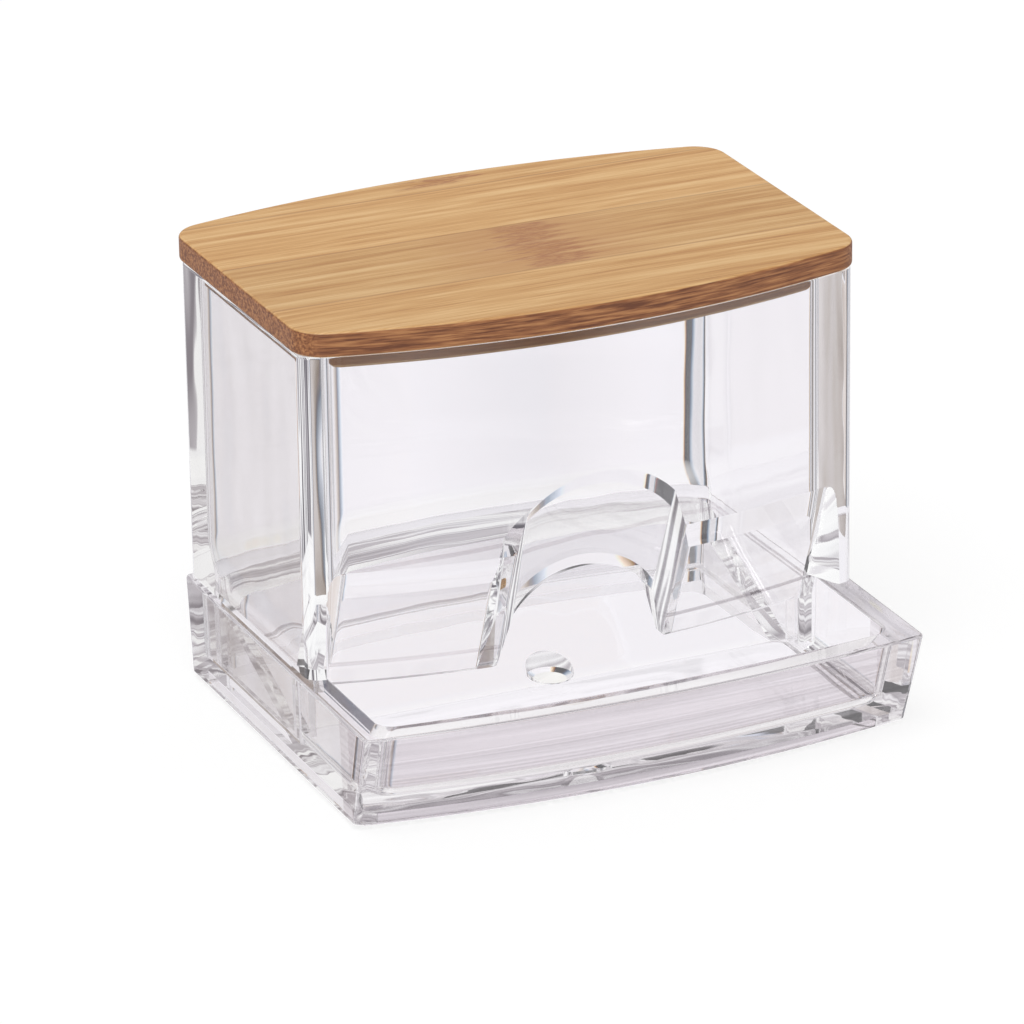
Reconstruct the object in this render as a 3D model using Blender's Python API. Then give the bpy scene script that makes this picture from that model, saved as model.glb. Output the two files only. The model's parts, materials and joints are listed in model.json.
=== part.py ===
"""Cotton swab dispenser: a clear hopper in a clear base with a tray in front, under a bamboo lid.

Metres, +Z up, the tray towards -Y. The origin is on the surface the dispenser stands on, under the
middle of the whole. Swabs lie in the hopper along X, roll down the ramp in the base and out under the
leaning front panel into the tray, and the arched bay in the panel leaves room for a finger.
"""

import math

import bmesh
import bpy

# Whole object
TOTAL_HEIGHT = 0.073
FIT_GAP = 0.0003          # between pieces that rest on or in one another
CUT_OVERRUN = 0.002       # how far cutters run past what they cut
SHARP_CORNER = 0.0002     # radius of a corner that looks sharp

# Base
BASE_WIDTH = 0.092
BASE_RIM_HEIGHT = 0.0169
BASE_WALL = 0.0043
SOCKET_RECESS = 0.0006    # how much thinner the wall is beside the hopper's skirt
BASE_FRONT_BOW = 0.0033
BASE_REAR_STEP = 0.0006   # how far the rim stands out behind the hopper
BASE_CORNER_RADIUS = 0.0012
BASE_FOOT_SIDE_TAPER = 0.0004
BASE_FOOT_REAR_TAPER = 0.0008
BASE_FRONT_FLARE = 0.0054  # how far the rim stands in front of the foot
BASE_FOOT_EXTRA_BOW = 0.0012
RIM_EDGE_ROUND = 0.0004
TRAY_REACH = 0.02305      # from the hopper's front corners to the base's front corners
TRAY_FLOOR_HEIGHT = 0.005
TRAY_CORNER_RADIUS = 0.0028
TRAY_FLOOR_FILLET = 0.0024
FLOOR_THICKNESS = 0.0028
FOOT_RING_HEIGHT = 0.0012
FOOT_RING_INSET = 0.0022
FOOT_RING_WIDTH = 0.0024

# Ramp, moulded with the base
RAMP_START_OFFSET = 0.01115  # from the hopper's front corners back to where the ramp leaves the floor
RAMP_ANGLE = math.radians(22.8)
RAMP_THICKNESS = 0.003
RAMP_BLEND_RADIUS = 0.012
RAMP_WEB = 0.0022

# Gate mark on the tray floor
GATE_OFFSET = 0.0133      # from the hopper's front corners back to its centre
GATE_RADIUS = 0.0037
GATE_BOTTOM_RADIUS = 0.0026
GATE_DEPTH = 0.0007
GATE_STEP_DEPTH = 0.0004

# Hopper
HOPPER_SIDE_STEP = 0.0007  # how far the rim stands out beside the hopper
HOPPER_SIDE_DEPTH = 0.04795
HOPPER_FRONT_BOW = 0.007
HOPPER_REAR_BOW = 0.0056
HOPPER_SIDE_WALL = 0.0054
HOPPER_FRONT_WALL = 0.005
HOPPER_REAR_WALL = 0.0042
HOPPER_CORNER_RADIUS = 0.0021
HOPPER_INNER_RADIUS = 0.0033
SKIRT_WALL = 0.0022       # the narrower part that stands inside the base
SHOULDER_LAND = 0.0013    # from the shoulder up to where the inside starts to widen
SHOULDER_RISE = 0.0058    # height over which it widens
TOP_EDGE_ROUND = 0.0004

# Front panel
CREASE_HEIGHT = 0.0344
PANEL_BOTTOM_HEIGHT = 0.0133
PANEL_LEAN = math.radians(21.3)
PANEL_WALL = 0.0031
CHEEK_INSET = 0.0058      # from the hopper's side in to where the lean starts to fade
CHEEK_WIDTH = 0.0037      # over which it fades, out to where the hopper's corner stands upright
LEG_WIDTH = 0.0034        # from the skirt's side in to the opening below the panel

# Finger bay in the panel
BAY_HALF_WIDTH = 0.0139
BAY_CREASE_TAPER = 0.0017  # how much narrower it is where the upper arch ends
BAY_CREASE_RISE = 0.0114  # of the crease, at the middle of the bay
BAY_CREASE_RADIUS = 0.0164
BAY_EDGE_TAPER = 0.0024   # how much narrower it is where the lower arch ends
BAY_EDGE_RISE = 0.0147    # of the panel's bottom edge, at the middle of the bay
BAY_EDGE_RADIUS = 0.0138
BAY_CORNER_RADIUS = 0.0012
BAY_FOOT_RADIUS = 0.0005
BAY_INNER_GROWTH = 0.0022  # how much wider the bay is on the inner face of the panel

# Lid
LID_THICKNESS = 0.0039
LID_SIDE_OVERHANG = 0.0005
LID_FRONT_OVERHANG = 0.0013
LID_REAR_OVERHANG = 0.0021
LID_CORNER_RADIUS = 0.0055
LID_EDGE_ROUND = 0.0005
LID_STEP_DEPTH = 0.0036
LID_STEP_CLEARANCE = 0.0004
LID_STEP_CHAMFER = 0.0005

# Facets
BOW_STEPS = 12
CORNER_STEPS = 6
ROUND_STEPS = 3
FILLET_STEPS = 4
BAY_ARC_STEPS = 14
CHEEK_STEPS = 6
GATE_SIDES = 32
SHOULDER_STEPS = 6
SHARP_ANGLE = math.radians(19)

# Places that follow from the sizes
TOTAL_DEPTH = (BASE_FRONT_BOW + TRAY_REACH + HOPPER_SIDE_DEPTH + LID_REAR_OVERHANG + HOPPER_REAR_BOW)
BASE_HALF = BASE_WIDTH / 2
BASE_FRONT = -TOTAL_DEPTH / 2 + BASE_FRONT_BOW
HOPPER_HALF = BASE_HALF - HOPPER_SIDE_STEP
HOPPER_FRONT = BASE_FRONT + TRAY_REACH
HOPPER_REAR = HOPPER_FRONT + HOPPER_SIDE_DEPTH
BASE_REAR = HOPPER_REAR + BASE_REAR_STEP
LID_UNDERSIDE = TOTAL_HEIGHT - LID_THICKNESS
HOPPER_TOP = LID_UNDERSIDE - FIT_GAP
SHOULDER_HEIGHT = BASE_RIM_HEIGHT + FIT_GAP
WIDENING_HEIGHT = SHOULDER_HEIGHT + SHOULDER_LAND
SKIRT_BOTTOM = TRAY_FLOOR_HEIGHT + FIT_GAP
RIM_EDGE_HEIGHT = BASE_RIM_HEIGHT - RIM_EDGE_ROUND
SOCKET_INSET = BASE_WALL - SOCKET_RECESS
SKIRT_INSET = SOCKET_INSET + FIT_GAP     # of the skirt's outside, from the base's outline
RAMP_INSET = SKIRT_INSET + SKIRT_WALL + FIT_GAP
PANEL_SLOPE = math.tan(PANEL_LEAN)       # setback for each unit of drop
SOCKET_SETBACK = PANEL_SLOPE * (CREASE_HEIGHT - SHOULDER_HEIGHT) - FIT_GAP
PANEL_RISE = CREASE_HEIGHT - PANEL_BOTTOM_HEIGHT
LEDGE_SHARE = (CREASE_HEIGHT - SHOULDER_HEIGHT - FIT_GAP) / PANEL_RISE
OVERRUN_SHARE = CUT_OVERRUN / PANEL_RISE
MARGIN_SHARE = FIT_GAP / PANEL_RISE
CHEEK_START = HOPPER_HALF - CHEEK_INSET
CHEEK_END = CHEEK_START + CHEEK_WIDTH
LEG_INNER_HALF_WIDTH = BASE_HALF - SKIRT_INSET - LEG_WIDTH
RAMP_SLOPE = math.tan(RAMP_ANGLE)
RAMP_START = HOPPER_FRONT + RAMP_START_OFFSET
GATE_CENTRE_Y = HOPPER_FRONT + GATE_OFFSET


def clear_scene():
    for old in list(bpy.data.objects):
        bpy.data.objects.remove(old, do_unlink=True)


def make_material(name, colour, roughness, metallic=0.0, transmission=0.0, ior=1.5):
    material = bpy.data.materials.new(name)
    material.use_nodes = True
    shader = material.node_tree.nodes["Principled BSDF"]
    shader.inputs["Base Color"].default_value = colour
    shader.inputs["Roughness"].default_value = roughness
    shader.inputs["Metallic"].default_value = metallic
    shader.inputs["Transmission Weight"].default_value = transmission
    shader.inputs["IOR"].default_value = ior
    material.diffuse_color = colour
    return material


class Outline:
    """A plan outline: straight sides, bowed front and rear, rounded corners."""

    def __init__(self, half, front, front_bow, rear, rear_bow, front_radius, rear_radius):
        self.half = half
        self.front = front
        self.front_bow = front_bow
        self.rear = rear
        self.rear_bow = rear_bow
        self.front_radius = front_radius
        self.rear_radius = rear_radius

    def front_arc(self):
        radius = (self.half ** 2 + self.front_bow ** 2) / (2 * self.front_bow)
        return radius, self.front - self.front_bow + radius

    def rear_arc(self):
        radius = (self.half ** 2 + self.rear_bow ** 2) / (2 * self.rear_bow)
        return radius, self.rear + self.rear_bow - radius

    def front_y(self, x, inset=0.0):
        """Y of the front bow at x, on a curve that lies inset inside it."""
        radius, centre = self.front_arc()
        return centre - math.sqrt((radius - inset) ** 2 - x ** 2)

    def rear_y(self, x, inset=0.0):
        """Y of the rear bow at x, on a curve that lies inset inside it."""
        radius, centre = self.rear_arc()
        return centre + math.sqrt((radius - inset) ** 2 - x ** 2)

    def points(self, inset=0.0, corner=None):
        """The outline as x, y points, counterclockwise from the middle of the front."""
        half = self.half - inset
        front_radius = self.front_radius - inset if corner is None else corner
        rear_radius = self.rear_radius - inset if corner is None else corner
        front_radius = max(front_radius, SHARP_CORNER)
        rear_radius = max(rear_radius, SHARP_CORNER)
        big, centre = self.front_arc()
        big -= inset
        corner_x = half - front_radius
        corner_y = centre - math.sqrt((big - front_radius) ** 2 - corner_x ** 2)
        turn = math.atan2(corner_y - centre, corner_x)
        half_outline = arc_points(0.0, centre, big, -math.pi / 2, turn, BOW_STEPS)
        half_outline += arc_points(corner_x, corner_y, front_radius, turn, 0.0, CORNER_STEPS)[1:]
        big, centre = self.rear_arc()
        big -= inset
        corner_x = half - rear_radius
        corner_y = centre + math.sqrt((big - rear_radius) ** 2 - corner_x ** 2)
        turn = math.atan2(corner_y - centre, corner_x)
        half_outline += arc_points(corner_x, corner_y, rear_radius, 0.0, turn, CORNER_STEPS)
        half_outline += arc_points(0.0, centre, big, turn, math.pi / 2, BOW_STEPS)[1:]
        mirrored = [(-x, y) for x, y in reversed(half_outline[1:-1])]
        return half_outline + mirrored


def arc_points(centre_x, centre_y, radius, start, end, steps):
    angles = [start + (end - start) * step / steps for step in range(steps + 1)]
    return [(centre_x + radius * math.cos(angle), centre_y + radius * math.sin(angle)) for angle in angles]


def round_path(points, radii, steps):
    """An open x, z path whose inner points are rounded, each by its own radius."""
    path = [points[0]]
    for before, here, after, radius in zip(points, points[1:], points[2:], radii):
        back = (before[0] - here[0], before[1] - here[1])
        ahead = (after[0] - here[0], after[1] - here[1])
        back_length = math.hypot(*back)
        ahead_length = math.hypot(*ahead)
        cosine = (back[0] * ahead[0] + back[1] * ahead[1]) / (back_length * ahead_length)
        half_angle = math.acos(max(-1.0, min(1.0, cosine))) / 2
        trim = min(radius / math.tan(half_angle), back_length / 2, ahead_length / 2)
        start = (here[0] + back[0] / back_length * trim, here[1] + back[1] / back_length * trim)
        end = (here[0] + ahead[0] / ahead_length * trim, here[1] + ahead[1] / ahead_length * trim)
        for step in range(steps + 1):
            share = step / steps
            near = (1 - share) ** 2
            middle = 2 * share * (1 - share)
            far = share ** 2
            path.append((near * start[0] + middle * here[0] + far * end[0],
                         near * start[1] + middle * here[1] + far * end[1]))
    path.append(points[-1])
    return path


def new_object(name, vertices, faces, material=None, location=(0.0, 0.0, 0.0)):
    """A mesh object from points in world space, with its origin at location."""
    mesh = bpy.data.meshes.new(name)
    local = [tuple(value - origin for value, origin in zip(vertex, location)) for vertex in vertices]
    mesh.from_pydata(local, [], faces)
    work = bmesh.new()
    work.from_mesh(mesh)
    bmesh.ops.recalc_face_normals(work, faces=work.faces)
    work.to_mesh(mesh)
    work.free()
    made = bpy.data.objects.new(name, mesh)
    made.location = location
    bpy.context.scene.collection.objects.link(made)
    if material is not None:
        mesh.materials.append(material)
    return made


def loft(name, rings, material=None, location=(0.0, 0.0, 0.0)):
    """A closed solid through rings of equal count, each a height and its x, y points, capped flat."""
    count = len(rings[0][1])
    vertices = [(x, y, height) for height, ring in rings for x, y in ring]
    faces = [tuple(reversed(range(count)))]
    for level in range(len(rings) - 1):
        low = level * count
        high = low + count
        for index in range(count):
            following = (index + 1) % count
            faces.append((low + index, low + following, high + following, high + index))
    top = (len(rings) - 1) * count
    faces.append(tuple(range(top, top + count)))
    return new_object(name, vertices, faces, material, location)


def bar(name, profile, half_length):
    """A y, z profile drawn out along X to both sides."""
    count = len(profile)
    vertices = [(-half_length, y, z) for y, z in profile] + [(half_length, y, z) for y, z in profile]
    faces = [tuple(range(count)), tuple(reversed(range(count, 2 * count)))]
    for index in range(count):
        following = (index + 1) % count
        faces.append((index, index + count, following + count, following))
    return new_object(name, vertices, faces)


def as_cutter(cutter):
    cutter.hide_render = True
    cutter.display_type = "WIRE"
    return cutter


def combine(target, other, operation):
    as_cutter(other)
    modifier = target.modifiers.new(operation.lower() + "_" + other.name, "BOOLEAN")
    modifier.operation = operation
    modifier.solver = "EXACT"
    modifier.object = other


def smooth(target):
    target.data.shade_smooth()
    target.data.set_sharp_from_angle(angle=SHARP_ANGLE)


HOPPER_OUTLINE = Outline(HOPPER_HALF, HOPPER_FRONT, HOPPER_FRONT_BOW, HOPPER_REAR, HOPPER_REAR_BOW,
                         HOPPER_CORNER_RADIUS, HOPPER_CORNER_RADIUS)
LID_OUTLINE = Outline(HOPPER_HALF + LID_SIDE_OVERHANG, HOPPER_FRONT - LID_FRONT_OVERHANG, HOPPER_FRONT_BOW,
                      HOPPER_REAR + LID_REAR_OVERHANG, HOPPER_REAR_BOW, LID_CORNER_RADIUS, LID_CORNER_RADIUS)


def inner_outline():
    """The inside of the hopper's walls in plan, above the panel."""
    half = HOPPER_HALF - HOPPER_SIDE_WALL
    front = HOPPER_OUTLINE.front_y(half, HOPPER_FRONT_WALL)
    front_bow = front - HOPPER_OUTLINE.front_y(0.0, HOPPER_FRONT_WALL)
    rear = HOPPER_OUTLINE.rear_y(half, HOPPER_REAR_WALL)
    rear_bow = HOPPER_OUTLINE.rear_y(0.0, HOPPER_REAR_WALL) - rear
    return Outline(half, front, front_bow, rear, rear_bow, HOPPER_INNER_RADIUS, HOPPER_INNER_RADIUS)


HOPPER_INSIDE = inner_outline()


def skirt_outline(inset):
    """The hopper's plan inside the base: base outline at the sides and rear, hopper bow in front."""
    half = BASE_HALF - inset
    front_bow = HOPPER_FRONT_BOW * (half / HOPPER_HALF) ** 2
    rear_bow = HOPPER_REAR_BOW * (half / BASE_HALF) ** 2
    return Outline(half, HOPPER_OUTLINE.front_y(half), front_bow, BASE_REAR - inset, rear_bow,
                   0.0, TRAY_CORNER_RADIUS)


def bay_profile(foot, rise, radius, taper, growth):
    """The right half of an arch of the bay, from its middle out to the flat beside it."""
    apex = foot + rise + growth
    shoulder_x = BAY_HALF_WIDTH - taper + growth
    radius += growth
    end = math.asin(shoulder_x / radius)
    arc = [(radius * math.sin(end * step / BAY_ARC_STEPS),
            apex - radius * (1 - math.cos(end * step / BAY_ARC_STEPS))) for step in range(BAY_ARC_STEPS)]
    shoulder = (shoulder_x, apex - radius * (1 - math.cos(end)))
    foot_point = (BAY_HALF_WIDTH + growth, foot)
    outer = (BAY_HALF_WIDTH + growth + BAY_CREASE_TAPER, foot)
    bend = round_path([arc[-1], shoulder, foot_point, outer], [BAY_CORNER_RADIUS, BAY_FOOT_RADIUS],
                      CORNER_STEPS)
    return arc[:-1] + bend


def crease_profile(growth=0.0):
    return bay_profile(CREASE_HEIGHT, BAY_CREASE_RISE, BAY_CREASE_RADIUS, BAY_CREASE_TAPER, growth)


def edge_profile(growth=0.0):
    return bay_profile(PANEL_BOTTOM_HEIGHT, BAY_EDGE_RISE, BAY_EDGE_RADIUS, BAY_EDGE_TAPER, growth)


def mirrored_path(right):
    return [(-x, z) for x, z in reversed(right[1:])] + right


def eased(share):
    """A share from 0 to 1, slow at both ends."""
    return share * share * (3 - 2 * share)


def spread(start, end, steps):
    """Steps values from just after start up to end."""
    return [start + (end - start) * step / steps for step in range(1, steps + 1)]


def panel_point(crease_point, edge_point, share, inset):
    """A point of the leaning face, on the crease at share 0 and on the panel's bottom edge at share 1."""
    x = crease_point[0] + (edge_point[0] - crease_point[0]) * share
    drop = (crease_point[1] - edge_point[1]) * share
    return x, HOPPER_OUTLINE.front_y(x, inset) + PANEL_SLOPE * drop, crease_point[1] - drop


def front_cutter(name, inset, growth, cheeks):
    """Everything in front of the leaning face, which steps back from the crease to the panel's edge.

    With cheeks, the face comes forward again beside the panel, and meets the upright corners. The cheeks
    end just above the shoulder, and the legs below it stand back with the panel.
    """
    reach = HOPPER_HALF + CUT_OVERRUN
    crease = crease_profile(growth)
    edge = edge_profile(growth)
    beside = spread(crease[-1][0], CHEEK_START, BOW_STEPS)
    beside += spread(CHEEK_START, CHEEK_END, CHEEK_STEPS) + [reach]
    crease = mirrored_path(crease + [(x, CREASE_HEIGHT) for x in beside])
    edge = mirrored_path(edge + [(x, PANEL_BOTTOM_HEIGHT) for x in beside])
    ahead = BASE_FRONT - BASE_FRONT_BOW - CUT_OVERRUN
    vertices = []
    for ends in zip(crease, edge):
        fade = 0.0
        if cheeks:
            fade = eased(min(max((abs(ends[0][0]) - CHEEK_START) / CHEEK_WIDTH, 0.0), 1.0))

        def cheek_point(share):
            x, y, z = panel_point(*ends, share, inset)
            upright = HOPPER_OUTLINE.front_y(x, inset) - FIT_GAP
            return x, y + (upright - y) * fade, z
        above = panel_point(*ends, -OVERRUN_SHARE, inset)
        below = panel_point(*ends, 1 + MARGIN_SHARE, inset)
        under_ledge = LEDGE_SHARE if fade > 0 else LEDGE_SHARE + MARGIN_SHARE
        vertices += [above, cheek_point(MARGIN_SHARE), cheek_point(LEDGE_SHARE),
                     panel_point(*ends, under_ledge, inset), below, (below[0], below[1], -CUT_OVERRUN),
                     (below[0], ahead, -CUT_OVERRUN), (above[0], ahead, above[2])]
    count = len(vertices) // len(crease)
    last = len(vertices) - count
    faces = [tuple(range(count)), tuple(reversed(range(last, last + count)))]
    for row in range(0, last, count):
        for index in range(count):
            following = (index + 1) % count
            faces.append((row + index, row + count + index, row + count + following, row + following))
    return new_object(name, vertices, faces)


def window_cutter(name):
    """The opening below the panel, up to its bottom edge and the arch in it."""
    arch = mirrored_path(edge_profile() + [(LEG_INNER_HALF_WIDTH, PANEL_BOTTOM_HEIGHT)])
    profile = arch + [(LEG_INNER_HALF_WIDTH, -CUT_OVERRUN), (-LEG_INNER_HALF_WIDTH, -CUT_OVERRUN)]
    ahead = BASE_FRONT - BASE_FRONT_BOW
    count = len(profile)
    vertices = [(x, ahead, z) for x, z in profile] + [(x, RAMP_START, z) for x, z in profile]
    faces = [tuple(range(count)), tuple(reversed(range(count, 2 * count)))]
    for index in range(count):
        following = (index + 1) % count
        faces.append((index, index + count, following + count, following))
    return new_object(name, vertices, faces)


def make_hopper(material):
    skirt = skirt_outline(SKIRT_INSET)
    inner_skirt = skirt_outline(SKIRT_INSET + SKIRT_WALL)
    outer = loft("hopper", [
        (SKIRT_BOTTOM, skirt.points()),
        (SHOULDER_HEIGHT, skirt.points()),
        (SHOULDER_HEIGHT, HOPPER_OUTLINE.points()),
        (HOPPER_TOP - TOP_EDGE_ROUND, HOPPER_OUTLINE.points()),
        (HOPPER_TOP, HOPPER_OUTLINE.points(TOP_EDGE_ROUND)),
    ], material)
    wide = HOPPER_INSIDE.points()
    wide_edge = HOPPER_INSIDE.points(-TOP_EDGE_ROUND)
    narrow = inner_skirt.points()
    rings = [(-CUT_OVERRUN, narrow)]
    for step in range(SHOULDER_STEPS + 1):
        share = step / SHOULDER_STEPS
        blend = eased(share)
        ring = [(low[0] + (high[0] - low[0]) * blend, low[1] + (high[1] - low[1]) * blend)
                for low, high in zip(narrow, wide)]
        rings.append((WIDENING_HEIGHT + SHOULDER_RISE * share, ring))
    rings.append((HOPPER_TOP - TOP_EDGE_ROUND, wide))
    rings.append((HOPPER_TOP, wide_edge))
    rings.append((HOPPER_TOP + CUT_OVERRUN, wide_edge))
    inside = loft("hopper_inside", rings)
    combine(inside, front_cutter("panel_inner_face", PANEL_WALL, BAY_INNER_GROWTH, False), "DIFFERENCE")
    combine(outer, front_cutter("panel_outer_face", 0.0, 0.0, True), "DIFFERENCE")
    combine(outer, inside, "DIFFERENCE")
    combine(outer, window_cutter("panel_window"), "DIFFERENCE")
    return outer


def base_ring(height, inset=0.0, corner=None):
    """The base's outside at a height: the front leans out from foot to rim, sides and rear a little."""
    share = max((RIM_EDGE_HEIGHT - height) / (RIM_EDGE_HEIGHT - FOOT_RING_HEIGHT), 0.0)
    level = Outline(BASE_HALF - BASE_FOOT_SIDE_TAPER * share, BASE_FRONT + BASE_FRONT_FLARE * share,
                    BASE_FRONT_BOW + BASE_FOOT_EXTRA_BOW * share, BASE_REAR - BASE_FOOT_REAR_TAPER * share,
                    HOPPER_REAR_BOW, BASE_CORNER_RADIUS, BASE_CORNER_RADIUS)
    return level.points(inset, corner)


def tray_rings():
    """The tray's hollow, from its rounded floor edge up past the rim."""
    rings = []
    for step in range(FILLET_STEPS + 1):
        turn = math.pi / 2 * step / FILLET_STEPS
        height = TRAY_FLOOR_HEIGHT + TRAY_FLOOR_FILLET * (1 - math.cos(turn))
        inset = BASE_WALL + TRAY_FLOOR_FILLET * (1 - math.sin(turn))
        rings.append((height, base_ring(height, inset, TRAY_CORNER_RADIUS)))
    for step in range(ROUND_STEPS + 1):
        turn = math.pi / 2 * step / ROUND_STEPS
        height = BASE_RIM_HEIGHT - RIM_EDGE_ROUND * (1 - math.sin(turn))
        inset = BASE_WALL - RIM_EDGE_ROUND * (1 - math.cos(turn))
        rings.append((height, base_ring(height, inset, TRAY_CORNER_RADIUS)))
    rings.append((BASE_RIM_HEIGHT + CUT_OVERRUN, rings[-1][1]))
    return rings


def socket_cutter():
    """Where the skirt stands: square to the floor, from just before the legs to the rear wall."""
    plan = skirt_outline(SOCKET_INSET).points()
    ring = [(x, y + SOCKET_SETBACK if y < RAMP_START else y) for x, y in plan]
    return loft("skirt_socket", [(TRAY_FLOOR_HEIGHT, ring), (BASE_RIM_HEIGHT + CUT_OVERRUN, ring)])


def ramp_profile():
    """The ramp's top in y, z: level with the floor, a blend, then the slope up past the rear wall."""
    level = (RAMP_START - RAMP_BLEND_RADIUS, TRAY_FLOOR_HEIGHT)
    bend = (RAMP_START, TRAY_FLOOR_HEIGHT)
    end_y = BASE_REAR + HOPPER_REAR_BOW
    end = (end_y, TRAY_FLOOR_HEIGHT + RAMP_SLOPE * (end_y - RAMP_START))
    return round_path([level, bend, end], [RAMP_BLEND_RADIUS], 2 * FILLET_STEPS)


def make_base(material):
    body = loft("base_tray", [
        (FOOT_RING_HEIGHT, base_ring(FOOT_RING_HEIGHT)),
        (RIM_EDGE_HEIGHT, base_ring(RIM_EDGE_HEIGHT)),
        (BASE_RIM_HEIGHT, base_ring(BASE_RIM_HEIGHT, RIM_EDGE_ROUND)),
    ], material)
    foot = loft("foot_ring", [
        (0.0, base_ring(FOOT_RING_HEIGHT, FOOT_RING_INSET)),
        (TRAY_FLOOR_HEIGHT - FLOOR_THICKNESS / 2, base_ring(FOOT_RING_HEIGHT, FOOT_RING_INSET)),
    ])
    combine(body, foot, "UNION")
    combine(body, loft("tray_hollow", tray_rings()), "DIFFERENCE")
    combine(body, socket_cutter(), "DIFFERENCE")

    ramp_plan = skirt_outline(RAMP_INSET)
    plan_ring = ramp_plan.points()
    ramp = loft("ramp", [(TRAY_FLOOR_HEIGHT - FLOOR_THICKNESS / 2, plan_ring), (TOTAL_HEIGHT, plan_ring)])
    top = ramp_profile()
    under = [(top[-1][0], -CUT_OVERRUN), (top[0][0], -CUT_OVERRUN)]
    combine(ramp, bar("ramp_top", top + under, BASE_HALF), "INTERSECT")
    combine(body, ramp, "UNION")

    drop = RAMP_THICKNESS / math.cos(RAMP_ANGLE)
    under_floor = TRAY_FLOOR_HEIGHT - FLOOR_THICKNESS
    low_y = RAMP_START - (TRAY_FLOOR_HEIGHT - drop - under_floor) / RAMP_SLOPE
    high = (top[-1][0], top[-1][1] - drop)
    hollow_ring = skirt_outline(RAMP_INSET + RAMP_WEB).points()
    hollow = loft("ramp_hollow", [(-CUT_OVERRUN, hollow_ring), (TOTAL_HEIGHT, hollow_ring)])
    slope = [(low_y, under_floor), high, (high[0], -CUT_OVERRUN), (low_y, -CUT_OVERRUN)]
    combine(hollow, bar("ramp_underside", slope, BASE_HALF), "INTERSECT")
    combine(body, hollow, "DIFFERENCE")

    ring_inner = FOOT_RING_INSET + FOOT_RING_WIDTH
    recess = loft("floor_recess", [
        (-CUT_OVERRUN, base_ring(FOOT_RING_HEIGHT, ring_inner)),
        (under_floor, base_ring(FOOT_RING_HEIGHT, ring_inner)),
    ])
    combine(body, recess, "DIFFERENCE")

    turns = [2 * math.pi * side / GATE_SIDES for side in range(GATE_SIDES)]

    def gate_ring(radius):
        return [(radius * math.cos(turn), GATE_CENTRE_Y + radius * math.sin(turn)) for turn in turns]
    gate_bottom = TRAY_FLOOR_HEIGHT - GATE_DEPTH
    gate = loft("gate_mark", [
        (gate_bottom, gate_ring(GATE_BOTTOM_RADIUS)),
        (gate_bottom + GATE_STEP_DEPTH, gate_ring(GATE_RADIUS)),
        (BASE_RIM_HEIGHT, gate_ring(GATE_RADIUS)),
    ])
    combine(body, gate, "DIFFERENCE")
    return body


def make_lid(material):
    """A board with a step milled under it, its origin on the line along which it lifts."""
    step_plan = HOPPER_INSIDE.points(LID_STEP_CLEARANCE)
    step_edge = HOPPER_INSIDE.points(LID_STEP_CLEARANCE + LID_STEP_CHAMFER)
    step_bottom = LID_UNDERSIDE - LID_STEP_DEPTH
    rings = [
        (step_bottom, step_edge),
        (step_bottom + LID_STEP_CHAMFER, step_plan),
        (LID_UNDERSIDE, step_plan),
        (LID_UNDERSIDE, LID_OUTLINE.points(LID_EDGE_ROUND)),
    ]
    for step in range(1, ROUND_STEPS + 1):
        turn = math.pi / 2 * step / ROUND_STEPS
        rings.append((LID_UNDERSIDE + LID_EDGE_ROUND * (1 - math.cos(turn)),
                      LID_OUTLINE.points(LID_EDGE_ROUND * (1 - math.sin(turn)))))
    for step in range(ROUND_STEPS + 1):
        turn = math.pi / 2 * step / ROUND_STEPS
        rings.append((TOTAL_HEIGHT - LID_EDGE_ROUND * (1 - math.sin(turn)),
                      LID_OUTLINE.points(LID_EDGE_ROUND * (1 - math.cos(turn)))))
    middle = (HOPPER_FRONT + HOPPER_REAR) / 2
    return loft("lid", rings, material, (0.0, middle, LID_UNDERSIDE))


def build():
    clear_scene()
    clear = make_material("clear_plastic", (0.93, 0.91, 0.93, 1.0), 0.03, transmission=1.0, ior=1.49)
    bamboo = make_material("bamboo", (0.69, 0.42, 0.18, 1.0), 0.5)
    dispenser = bpy.data.objects.new("dispenser", None)
    bpy.context.scene.collection.objects.link(dispenser)
    for piece in (make_base(clear), make_hopper(clear), make_lid(bamboo)):
        smooth(piece)
        piece.parent = dispenser


build()
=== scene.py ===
"""Cotton swab dispenser: finished surfaces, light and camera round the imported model.

Metres, +Z up, the tray towards -Y. The hopper, the base and the lid are rebuilt with fine curves in the
places of their solids, and get their clear plastic and bamboo here.
"""

import json
import math

import bmesh
import bpy
from mathutils import Matrix, Vector

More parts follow.
